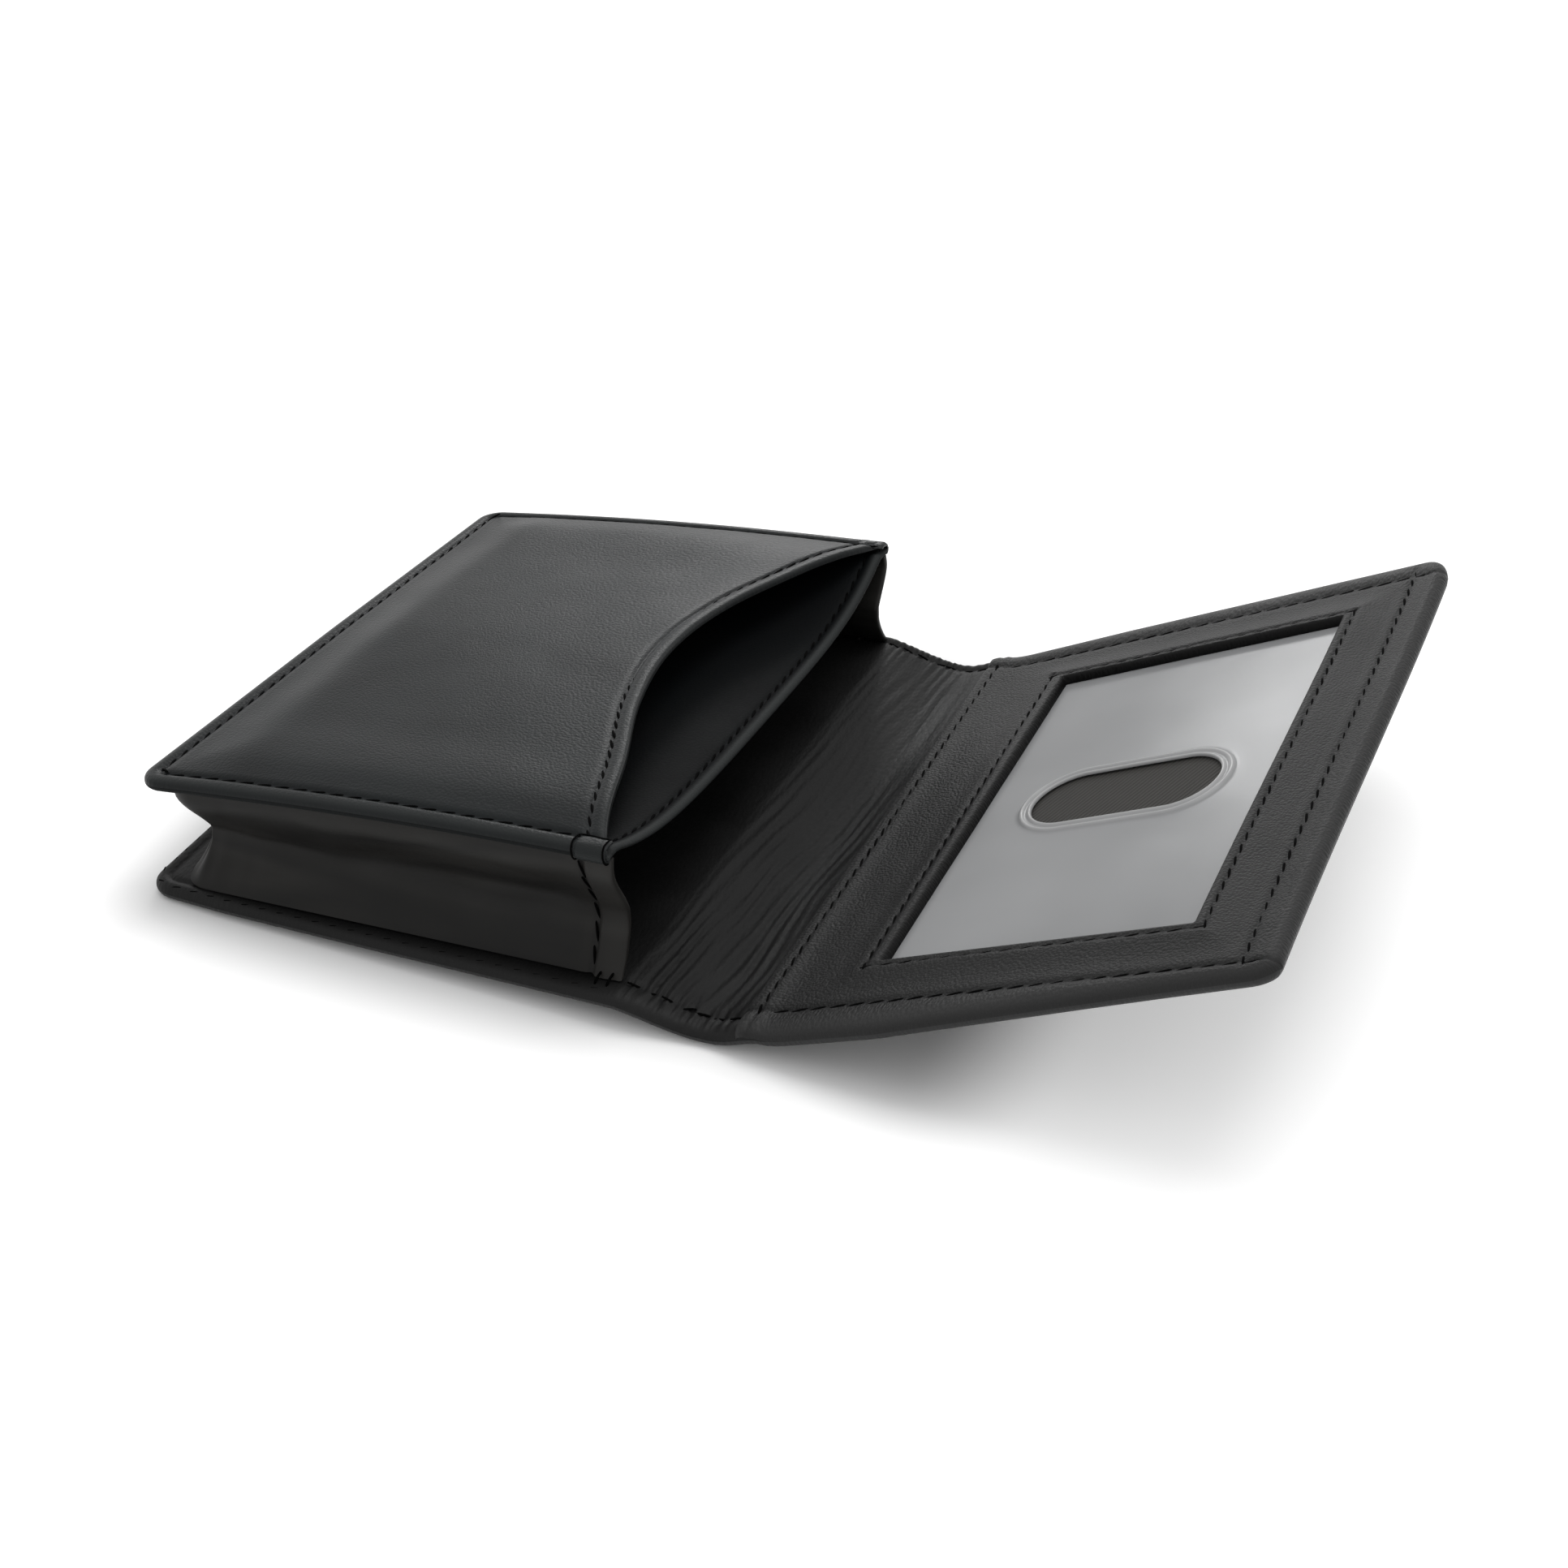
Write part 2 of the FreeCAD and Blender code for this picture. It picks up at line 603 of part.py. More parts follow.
lining = new_body("flap_lining", flap_frame)
outline = new_sketch(lining, "flap_lining_outline", LINING_LOW)
rectangle(outline, START, CORE_END, f"-{CORE_HALF}", CORE_HALF)
pad(lining, "flap_lining_sheet", outline, "sizes.flap_lining")

MIDDLE = f"({LENGTH} / 2)"
WINDOW_HALF = f"({HALF} - sizes.window_side_border)"
WINDOW_LOW = "sizes.window_end_border"
WINDOW_HIGH = f"({LENGTH} - sizes.window_end_border)"

film = new_body("window_sheet", flap_frame)
outline = new_sketch(film, "window_sheet_outline", FILM_LOW)
film_half = f"({CORE_HALF} - sizes.film_gap)"
rectangle(outline, START, f"{CORE_END} - sizes.film_gap", f"-{film_half}", film_half)
slot(outline, MIDDLE, "sizes.slot_length", "sizes.slot_width")
pad(film, "window_sheet_film", outline, "sizes.window_film")
bead = new_sketch(film, "window_sheet_bead", PANEL_LOW)
slot(bead, MIDDLE, "sizes.slot_length", "sizes.slot_width")
slot(bead, MIDDLE, "(sizes.slot_length + 2 * sizes.bead_width)",
     "(sizes.slot_width + 2 * sizes.bead_width)")
pad(film, "window_sheet_weld", bead, "sizes.bead_height")

panel = new_body("id_panel", flap_frame)
outline = new_sketch(panel, "id_panel_outline", PANEL_LOW)
rectangle(outline, START, LENGTH, f"-{HALF}", HALF)
rectangle(outline, WINDOW_LOW, WINDOW_HIGH, f"-{WINDOW_HALF}", WINDOW_HALF)
plate = pad(panel, "id_panel_plate", outline, "sizes.id_leather")
plate = round_upright_edges(panel, "id_panel_corners", plate, at_free_edge, "sizes.corner_radius")
round_upright_edges(panel, "id_panel_window_corners", plate,
                    lambda x, y: near_value(abs(y), number(WINDOW_HALF)), "sizes.window_corner")

seam = new_body("window_thread", flap_frame)
outline = new_sketch(seam, "window_seam_path", "0")
for offset in ("sizes.window_seam", "(sizes.window_seam + sizes.thread_width)"):
    rectangle(outline, f"{WINDOW_LOW} - {offset}", f"{WINDOW_HIGH} + {offset}",
              f"-({WINDOW_HALF} + {offset})", f"{WINDOW_HALF} + {offset}")
pad(seam, "window_seam_run", outline, "sizes.thread_height")

seam = new_body("flap_seam_thread", flap_frame)
outline = new_sketch(seam, "flap_seam_path", "0")
near_end = "(2 * sizes.thread_gap)"
far_end = f"({LENGTH} - sizes.flap_end_seam)"
outer_half = f"({HALF} - sizes.flap_side_seam)"
inner_half = f"({outer_half} - sizes.thread_width)"
inner_end = f"({far_end} - sizes.thread_width)"
polygon(outline, [(near_end, f"-{outer_half}"), (far_end, f"-{outer_half}"), (far_end, outer_half),
                  (near_end, outer_half), (near_end, inner_half), (inner_end, inner_half),
                  (inner_end, f"-{inner_half}"), (near_end, f"-{inner_half}")])
pad(seam, "flap_seam_run", outline, "sizes.thread_height")

seam = new_body("id_mouth_thread", flap_frame)
outline = new_sketch(seam, "id_mouth_path", "0")
mouth_half = f"({inner_half} - sizes.thread_gap)"
rectangle(outline, "sizes.mouth_seam", "sizes.mouth_seam + sizes.thread_width",
          f"-{mouth_half}", mouth_half)
pad(seam, "id_mouth_run", outline, "sizes.thread_height")


# ---------------------------------------------------------------------------------------------
# Checks and files

document.recompute()
for item in document.Objects:
    if "Invalid" in item.State or "Error" in item.State:
        raise RuntimeError(f"{item.Name} is {item.State}")

os.makedirs("parts", exist_ok=True)
for item in document.Objects:
    if item.TypeId not in ("PartDesign::Body", "Part::Feature"):
        continue
    shape = item.Shape
    if shape.isNull() or not shape.isValid() or not shape.Solids:
        raise RuntimeError(f"{item.Label} has no valid solid")
    shape.exportStep(os.path.join("parts", f"{item.Label}.step"))
    box = shape.BoundBox
    print(f"{item.Label:22s} {len(shape.Solids)} solid(s) {shape.Volume:9.1f} mm3 "
          f"x {box.XMin:7.2f}..{box.XMax:7.2f} y {box.YMin:7.2f}..{box.YMax:7.2f} "
          f"z {box.ZMin:6.2f}..{box.ZMax:6.2f}")
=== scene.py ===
"""A folding card case in black leather: its finished pieces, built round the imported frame."""
import json
import math

import bpy
import numpy as np
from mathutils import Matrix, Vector, noise


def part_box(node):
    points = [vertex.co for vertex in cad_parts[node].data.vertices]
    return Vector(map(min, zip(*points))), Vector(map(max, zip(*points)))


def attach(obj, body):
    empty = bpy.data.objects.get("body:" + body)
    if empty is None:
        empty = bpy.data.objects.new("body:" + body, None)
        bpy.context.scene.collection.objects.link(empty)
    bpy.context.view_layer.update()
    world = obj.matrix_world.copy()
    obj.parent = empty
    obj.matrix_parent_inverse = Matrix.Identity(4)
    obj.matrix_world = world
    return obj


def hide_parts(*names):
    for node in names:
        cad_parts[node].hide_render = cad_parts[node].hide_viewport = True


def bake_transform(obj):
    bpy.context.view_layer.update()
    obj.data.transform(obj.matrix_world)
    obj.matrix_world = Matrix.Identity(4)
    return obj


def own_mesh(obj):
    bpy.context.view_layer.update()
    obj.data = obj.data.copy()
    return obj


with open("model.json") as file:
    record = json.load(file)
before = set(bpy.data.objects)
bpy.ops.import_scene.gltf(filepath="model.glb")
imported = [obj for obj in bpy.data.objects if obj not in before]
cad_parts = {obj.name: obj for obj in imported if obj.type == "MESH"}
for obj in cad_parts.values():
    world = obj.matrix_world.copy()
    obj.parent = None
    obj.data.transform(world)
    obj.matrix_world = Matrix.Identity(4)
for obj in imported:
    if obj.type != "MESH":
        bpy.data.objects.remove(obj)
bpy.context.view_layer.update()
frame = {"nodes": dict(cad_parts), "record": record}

bl_info = {
    "name": "Folding card case",
    "version": (1, 0, 0),
    "blender": (4, 5, 0),
    "location": "3D View > Sidebar > Card case",
    "description": "Builds a gusseted card case with an ID window, piece by piece",
    "category": "Object",
}

JOINTS = {joint["name"]: joint for joint in frame["record"]["behaviour"]["joints"]}
MM = 0.001

# ---------------------------------------------------------------- places in the row frame
# All the modelling below is in millimetres. The creases, the pocket's tilt and the flap's
# rise come from the frame's own joints.
FOLD = np.array(JOINTS["spine_fold"]["pos_m"]) / MM
CREASE = np.array(JOINTS["flap_fold"]["pos_m"]) / MM
TILT = math.atan2(-JOINTS["bellows"]["axis"][0], JOINTS["bellows"]["axis"][2])
RISE = math.radians(-JOINTS["flap_fold"]["range_deg"][0])

# A panel's length from its crease, half the case's width, the gap between a crease and the
# panel, the thickness of each stack of layers, the corners' radius and the pocket's height.
LENGTH = 76.0
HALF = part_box("back_cover")[1].y / MM
CREASE_GAP = 0.3
BACK_STACK = 2.3
SPINE_STACK = 2.45
FLAP_STACK = 3.0
FRONT_STACK = 2.1
CORNER = 4.0
DEPTH_CLOSED = 17.8
DEPTH_MOUTH = 22.0
# The spine's lowest line, from its fold, and how steeply the leather falls towards it.
TROUGH, TROUGH_FALL = 13.4, math.radians(9)
RIM_TILT = TILT + math.atan((DEPTH_MOUTH - DEPTH_CLOSED) / LENGTH)


def size(name):
    """One of the sizes that a user would change, in millimetres."""
    return round(getattr(bpy.context.scene.case_sizes, name) / MM, 4)


def placed(origin, angle, x, y, z):
    """Points of a raised frame in the row frame."""
    x, y, z = np.broadcast_arrays(
        np.asarray(x, float), np.asarray(y, float), np.asarray(z, float)
    )
    c, s = math.cos(angle), math.sin(angle)
    return np.stack([origin[0] + x * c - z * s, y, origin[2] + x * s + z * c], axis=-1)


POCKET = FOLD - placed(np.zeros(3), TILT, LENGTH + CREASE_GAP, 0, BACK_STACK)
RIM = placed(POCKET, TILT, 0, 0, DEPTH_CLOSED - FRONT_STACK)


def smooth(t):
    """From 0 to 1 without a corner at either end."""
    t = np.clip(t, 0, 1)
    return t * t * (3 - 2 * t)


def bump(distance, width):
    """1 at a line, fading to 0 on both sides of it."""
    return np.exp(-((distance / width) ** 2))


def roll(distance, radius):
    """How far a rolled edge has risen at a distance inside it, from 0 to 1."""
    t = 1 - np.clip(distance, 0, radius) / radius
    return np.sqrt(np.clip(1 - t * t, 0, 1))


def through(points, at):
    """A smooth curve through a few measured points."""
    px, py = np.array(points, float).T
    slope = np.gradient(py, px)
    k = np.clip(np.searchsorted(px, at) - 1, 0, len(px) - 2)
    h = px[k + 1] - px[k]
    t = np.clip((at - px[k]) / h, 0, 1)
    return (
        (2 * t**3 - 3 * t**2 + 1) * py[k]
        + (t**3 - 2 * t**2 + t) * h * slope[k]
        + (3 * t**2 - 2 * t**3) * py[k + 1]
        + (t**3 - t**2) * h * slope[k + 1]
    )


def ripple(x, y, length_x, length_y, seed):
    """Smooth noise, one hump to each length, from -1 to 1."""
    x, y = np.broadcast_arrays(np.asarray(x, float), np.asarray(y, float))
    flat = [
        noise.noise(Vector((a / length_x, b / length_y, seed * 7.31)))
        for a, b in zip(x.ravel(), y.ravel())
    ]
    return np.array(flat).reshape(x.shape)


def creases(x, y, length_x, length_y, seed):
    """Narrow folds with broad land between them, from 0 to 1."""
    return 1 - np.clip(np.abs(ripple(x, y, length_x, length_y, seed)) * 3.2, 0, 1)


def bezier(poles, t):
    """Points of a cubic curve."""
    a, b, c, d = np.array(poles, float)
    t = t[:, None]
    return (1 - t) ** 3 * a + 3 * (1 - t) ** 2 * t * b + 3 * (1 - t) * t**2 * c + t**3 * d


def spread_line():
    """The case's inner face from the closed end to the flap's free edge, in section."""
    width = CREASE[0] - FOLD[0]
    low, start, end = TROUGH, CREASE_GAP, width - CREASE_GAP
    sag = FOLD[2] - SPINE_STACK
    fall, rise = math.tan(TROUGH_FALL), math.tan(RISE)
    first, second = (low - start) / 3, (end - low) / 3
    t = np.linspace(0, 1, 80)
    down = [(start, 0), (start + first, -first * fall), (low - first, -sag), (low, -sag)]
    up = [(low, -sag), (low + second, -sag), (end - second, -second * rise), (end, 0)]
    trough = np.vstack([bezier(down, t), bezier(up, t)[1:]]) + [FOLD[0], FOLD[2]]
    s = np.linspace(0, LENGTH, 400)
    back = placed(POCKET, TILT, s, 0, BACK_STACK)[:, [0, 2]]
    flap = placed(CREASE, RISE, np.linspace(CREASE_GAP, LENGTH, 400), 0, 0)[:, [0, 2]]
    line = np.vstack([back, trough, flap])
    run = np.concatenate([[0], np.cumsum(np.hypot(*np.diff(line, axis=0).T))])
    even = np.arange(0, run[-1], 0.1)
    x, z = np.interp(even, run, line[:, 0]), np.interp(even, run, line[:, 1])
    angle = np.unwrap(np.arctan2(np.gradient(z), np.gradient(x)))
    kernel = np.ones(31) / 31
    angle = np.convolve(np.pad(angle, 15, mode="edge"), kernel, mode="valid")
    return even, x, z, angle


# The flap's far side stands a little higher than its near side, and its near side is a
# little shorter. It lies lower than its CAD place, to close over the pocket's bulge.
TWIST = math.tan(math.radians(1.55))
NEAR_TAPER = 0.034
FLAP_DROP = 0.35
# The back panel's near closed corner reaches further out.
NEAR_CORNER, CORNER_REACH = 1.5, 40
S_LINE, X_LINE, Z_LINE, ANGLE_LINE = spread_line()
S_FOLD = float(np.interp(FOLD[0], X_LINE, S_LINE))
S_CREASE = float(np.interp(CREASE[0], X_LINE, S_LINE))
S_TROUGH = float(np.interp(FOLD[0] + TROUGH, X_LINE, S_LINE))
S_END = float(S_LINE[-1])
# The rims aren't even: places along the case, and how much wider each rim is there.
NEAR_RIM = (
    [0, 12, 40, 76, 90, 104, 116, 140, 156, 172], [0, 1, 2, 3, 2.1, 2.8, 3.1, 1.2, 0, -0.9]
)
FAR_RIM = ([90, 100, 120, 172], [0, 1.8, 2.4, 2.4])
RIM_BAND = 3.4


def spread(s, y, w):
    """Points over the case's inner face: s along it, w above it."""
    s, y, w = np.broadcast_arrays(
        np.asarray(s, float), np.asarray(y, float), np.asarray(w, float)
    )
    near = smooth((HALF - y) / (2 * HALF))
    s = s - NEAR_TAPER * near * np.clip(s - S_CREASE, 0, None)
    s = s - NEAR_CORNER * near * smooth(1 - s / CORNER_REACH)
    for side, wider in ((-1, NEAR_RIM), (1, FAR_RIM)):
        outside = smooth((side * y - (HALF - RIM_BAND)) / RIM_BAND)
        y = y + side * outside * np.interp(s, *wider)
    x = np.interp(s, S_LINE, X_LINE) + np.minimum(s, 0) * math.cos(TILT)
    z = np.interp(s, S_LINE, Z_LINE)
    angle = np.interp(s, S_LINE, ANGLE_LINE)
    past = np.clip(s - S_END, 0, None)
    w = w + TWIST * y / HALF * np.clip(s - S_CREASE, 0, None)
    w = w - FLAP_DROP * smooth((s - S_CREASE + 3) / 7)
    x = x + past * math.cos(RISE) - w * np.sin(angle)
    return np.stack([x, y, z + past * math.sin(RISE) + w * np.cos(angle)], axis=-1)


def stack(s):
    """The case's thickness along it."""
    return np.interp(
        s,
        [0, S_FOLD - 1, S_FOLD + 1, S_CREASE - 2, S_CREASE + 2, S_END],
        [BACK_STACK, BACK_STACK, SPINE_STACK, SPINE_STACK, FLAP_STACK, FLAP_STACK],
    )


def rounded(x, y, length, radius):
    """A rectangle's points with its corners at the far and near ends rounded.

    Lines that run beside the edges stay at their distance from it round each corner."""
    x, y = np.broadcast_arrays(np.asarray(x, float), np.asarray(y, float))
    x, y = x.copy(), y.copy()
    for end in (0, 1):
        a = radius - (length - x if end else x)
        b = np.abs(y) - (HALF - radius)
        inside = (a > 0) & (b > 0)
        reach = np.maximum(a, b)[inside]
        scale = reach / np.hypot(a[inside], b[inside])
        shifted = radius - a[inside] * scale
        x[inside] = length - shifted if end else shifted
        y[inside] = np.sign(y[inside]) * (HALF - radius + b[inside] * scale)
    return x, y


# ---------------------------------------------------------------- mesh tools


def clear_selection():
    """Nothing is selected, and no mesh is in edit mode."""
    if bpy.context.object and bpy.context.object.mode != "OBJECT":
        bpy.ops.object.mode_set(mode="OBJECT")
    bpy.ops.object.select_all(action="DESELECT")


def lines(length, near, far, step):
    """Places of a grid's lines: close together by the edges, evenly spaced between."""
    near, far = np.array(near, float), np.array(far, float)
    first, last = near.max(), length - far.max()
    count = max(1, int(round((last - first) / step)))
    middle = np.linspace(first, last, count + 1)
    return np.unique(np.round(np.concatenate([near, middle, length - far]), 4))


def only(piece):
    """The piece alone is selected and active."""
    clear_selection()
    piece.select_set(True)
    bpy.context.view_layer.objects.active = piece


def finish_mesh(piece, angle=50):
    """Smooth shading, sharp only where two faces really meet at an angle."""
    only(piece)
    bpy.ops.object.shade_smooth_by_angle(angle=math.radians(angle))
    return piece


def mark(mesh, name, values):
    """A number for each point, which the finish reads."""
    attribute = mesh.attributes.new(name, "FLOAT", "POINT")
    attribute.data.foreach_set("value", np.asarray(values, np.float32))


def lay_flat(mesh, pattern):
    """The piece's flat pattern: a place in millimetres for each point."""
    loops = np.empty(len(mesh.loops), int)
    mesh.loops.foreach_get("vertex_index", loops)
    layer = mesh.uv_layers[0] if mesh.uv_layers else mesh.uv_layers.new(name="UVMap")
    layer.data.foreach_set("uv", (pattern[loops] * MM).ravel())


def thicken(piece, thickness):
    """Gives a single layer its second side and its edges."""
    only(piece)
    wall = piece.modifiers.new("thickness", "SOLIDIFY")
    wall.thickness, wall.offset = thickness, -1
    bpy.ops.object.modifier_apply(modifier=wall.name)


def sheet_of(name, along, across, face, back, hole=None, rubbed=None, inked=None):
    """A sheet of leather, cloth or film with its thickness.

    It starts as a grid with its lines at along and across. face and back give its two sides from
    them. hole cuts an opening. rubbed says where the sheet is paler, and inked where shade is
    painted darker into its colour, along seams, creases and the window's wall."""
    clear_selection()
    nx, ny = len(along) - 1, len(across) - 1
    bpy.ops.mesh.primitive_grid_add(x_subdivisions=nx, y_subdivisions=ny, size=2)
    piece = bpy.context.object
    piece.name = piece.data.name = name
    mesh = piece.data
    if len(mesh.vertices) != (nx + 1) * (ny + 1):
        raise RuntimeError(f"{name}: the grid has {len(mesh.vertices)} points")

    def places():
        co = np.empty(len(mesh.vertices) * 3)
        mesh.vertices.foreach_get("co", co)
        co = co.reshape(-1, 3)
        i = np.rint((co[:, 0] + 1) / 2 * nx).astype(int)
        j = np.rint((co[:, 1] + 1) / 2 * ny).astype(int)
        return np.asarray(along)[i], np.asarray(across)[j]

    x, y = places()
    if hole:
        x0, x1, y0, y1 = hole
        bpy.ops.object.mode_set(mode="EDIT")
        bpy.ops.mesh.select_mode(type="FACE")
        bpy.ops.mesh.select_all(action="DESELECT")
        bpy.ops.object.mode_set(mode="OBJECT")
        for cell in mesh.polygons:
            points = list(cell.vertices)
            cell.select = x0 < x[points].mean() < x1 and y0 < y[points].mean() < y1
        bpy.ops.object.mode_set(mode="EDIT")
        bpy.ops.mesh.delete(type="FACE")
        bpy.ops.object.mode_set(mode="OBJECT")
        x, y = places()
    thicken(piece, 0.01)
    if len(mesh.vertices) != 2 * len(x):
        raise RuntimeError(f"{name}: the thickness didn't close")
    co = np.concatenate([face(x, y), back(x, y)]) * MM
    mesh.vertices.foreach_set("co", co.ravel())
    lay_flat(mesh, np.tile(np.stack([x, y], axis=-1), (2, 1)))
    mark(mesh, "rubbed", np.tile(rubbed(x, y) if rubbed else np.zeros(len(x)), 2))
    if inked:
        mark(mesh, "inked", np.tile(inked(x, y), 2))
    mesh.update()
    return finish_mesh(piece)


def mesh_piece(name, points, faces, uv=None):
    """A mesh object from millimetre points."""
    clear_selection()
    mesh = bpy.data.meshes.new(name)
    mesh.from_pydata([tuple(p) for p in np.asarray(points) * MM], [], faces)
    mesh.update()
    piece = bpy.data.objects.new(name, mesh)
    bpy.context.scene.collection.objects.link(piece)
    if uv is not None:
        lay_flat(mesh, uv)
    return finish_mesh(piece, 80)


def closed_outwards(piece):
    """The piece's faces all point outwards."""
    only(piece)
    bpy.ops.object.mode_set(mode="EDIT")
    bpy.ops.mesh.select_all(action="SELECT")
    bpy.ops.mesh.normals_make_consistent(inside=False)
    bpy.ops.object.mode_set(mode="OBJECT")
    return piece


def joined(rows, name):
    """Several rows as one piece."""
    only(rows[0])
    for row in rows[1:]:
        row.select_set(True)
    bpy.ops.object.join()
    rows[0].name = rows[0].data.name = name
    return rows[0]


# ---------------------------------------------------------------- stitches and threads


def one_stitch():
    """A single stitch's points and faces: a short thread, thicker in the middle, dipped at
    its ends."""
    clear_selection()
    bpy.ops.mesh.primitive_cylinder_add(vertices=7, radius=0.5, depth=1, end_fill_type="TRIFAN")
    stitch = bpy.context.object
    bpy.ops.object.mode_set(mode="EDIT")
    for height in (-0.3, 0.0, 0.3):
        bpy.ops.mesh.select_all(action="SELECT")
        bpy.ops.mesh.bisect(plane_co=(0, 0, height), plane_no=(0, 0, 1))
    bpy.ops.object.mode_set(mode="OBJECT")
    mesh = stitch.data
    points = np.array([v.co for v in mesh.vertices], float)
    faces = [tuple(p.vertices) for p in mesh.polygons]
    bpy.data.objects.remove(stitch)
    bpy.data.meshes.remove(mesh)
    length = points[:, 2]
    taper, dip = 1 - 1.3 * length**2, 4.4 * length**4
    return np.stack([length, points[:, 0] * taper, points[:, 1] * taper - dip], axis=-1), faces


STITCH = one_stitch()
# Stitches lie at a slant and sink a little into the leather. Each fills most of its step
# and is flatter than it is wide.
SLANT, SINK, FILLED, FLATTENED = math.radians(13), 0.05, 0.93, 0.8


def resample(path, pitch):
    """Evenly spaced points along a path, with their tangents and the step between them."""
    path = np.asarray(path, float)
    run = np.concatenate([[0], np.cumsum(np.linalg.norm(np.diff(path, axis=0), axis=1))])
    count = max(1, int(round(run[-1] / pitch)))
    at = (np.arange(count) + 0.5) * run[-1] / count

    def points_at(distance):
        return np.stack([np.interp(distance, run, path[:, k]) for k in range(3)], axis=-1)

    tangent = points_at(at + 0.2) - points_at(at - 0.2)
    tangent /= np.linalg.norm(tangent, axis=1)[:, None]
    return points_at(at), tangent, run[-1] / count


def seam(name, path, normal, pitch=None, thick=0.43):
    """A row of stitches along a path. normal points out of the leather there."""
    points, tangent, step = resample(path, pitch or size("stitch"))
    shape, faces = STITCH
    all_points, all_faces = [], []
    for point, along in zip(points, tangent):
        up = normal(point) if callable(normal) else normal
        up = up - along * (up @ along)
        up = up / np.linalg.norm(up)
        side = np.cross(up, along)
        along, side = (
            along * math.cos(SLANT) + side * math.sin(SLANT),
            side * math.cos(SLANT) - along * math.sin(SLANT),
        )
        start = len(all_points) * len(shape)
        all_points.append(
            point
            - up * SINK
            + shape[:, :1] * along * step * FILLED
            + shape[:, 1:2] * side * thick
            + shape[:, 2:3] * up * thick * FLATTENED
        )
        all_faces += [tuple(v + start for v in f) for f in faces]
    return closed_outwards(mesh_piece(name, np.concatenate(all_points), all_faces))


def thread_tube(name, paths, radius):
    """Loose lengths of thread along paths, drawn in at their ends."""
    sides = 6
    all_points, all_faces = [], []
    for path in paths:
        path = np.asarray(path, float)
        base, rows = len(all_points), len(path)
        tangent = np.gradient(path, axis=0)
        tangent /= np.linalg.norm(tangent, axis=1)[:, None]
        side = np.cross(tangent, [0.31, 0.17, 0.94])
        side /= np.linalg.norm(side, axis=1)[:, None]
        up = np.cross(side, tangent)
        for k in range(rows):
            reach = radius * (0.45 if k in (0, rows - 1) else 1.0)
            for q in range(sides):
                a = 2 * math.pi * q / sides
                all_points.append(
                    path[k] + reach * (math.cos(a) * side[k] + math.sin(a) * up[k])
                )
        for k in range(base, base + (rows - 1) * sides, sides):
            for q in range(sides):
                r = (q + 1) % sides
                all_faces.append((k + q, k + r, k + sides + r, k + sides + q))
        all_faces.append(tuple(base + q for q in range(sides))[::-1])
        all_faces.append(tuple(base + (rows - 1) * sides + q for q in range(sides)))
    return closed_outwards(mesh_piece(name, all_points, all_faces))


# ---------------------------------------------------------------- materials


def linear(code):
    """An sRGB hex colour as linear red, green, blue, alpha."""
    code = code.lstrip("#")
    out = []
    for k in (0, 2, 4):
        c = int(code[k : k + 2], 16) / 255
        out.append(c / 12.92 if c <= 0.04045 else ((c + 0.055) / 1.055) ** 2.4)
    return (*out, 1.0)


def colour(name):
    """One of the colours that a user would change."""
    return tuple(getattr(bpy.context.scene.case_look, name))


def add(tree, kind, values=None, links=None, **settings):
    """A node with its settings, its sockets' values and what is linked to them."""
    made = tree.nodes.new(kind)
    for key, value in settings.items():
        setattr(made, key, value)
    for key, value in (values or {}).items():
        made.inputs[key].default_value = value
    for key, source in (links or {}).items():
        tree.links.new(source, made.inputs[key])
    return made


def begin(name):
    """A new material and its empty tree."""
    material = bpy.data.materials.new(name)
    material.use_nodes = True
    material.node_tree.nodes.clear()
    return material, material.node_tree


def complete(tree, values, links):
    """The material's shader and its output."""
    shader = add(tree, "ShaderNodeBsdfPrincipled", values, links)
    add(tree, "ShaderNodeOutputMaterial", links={"Surface": shader.outputs["BSDF"]})


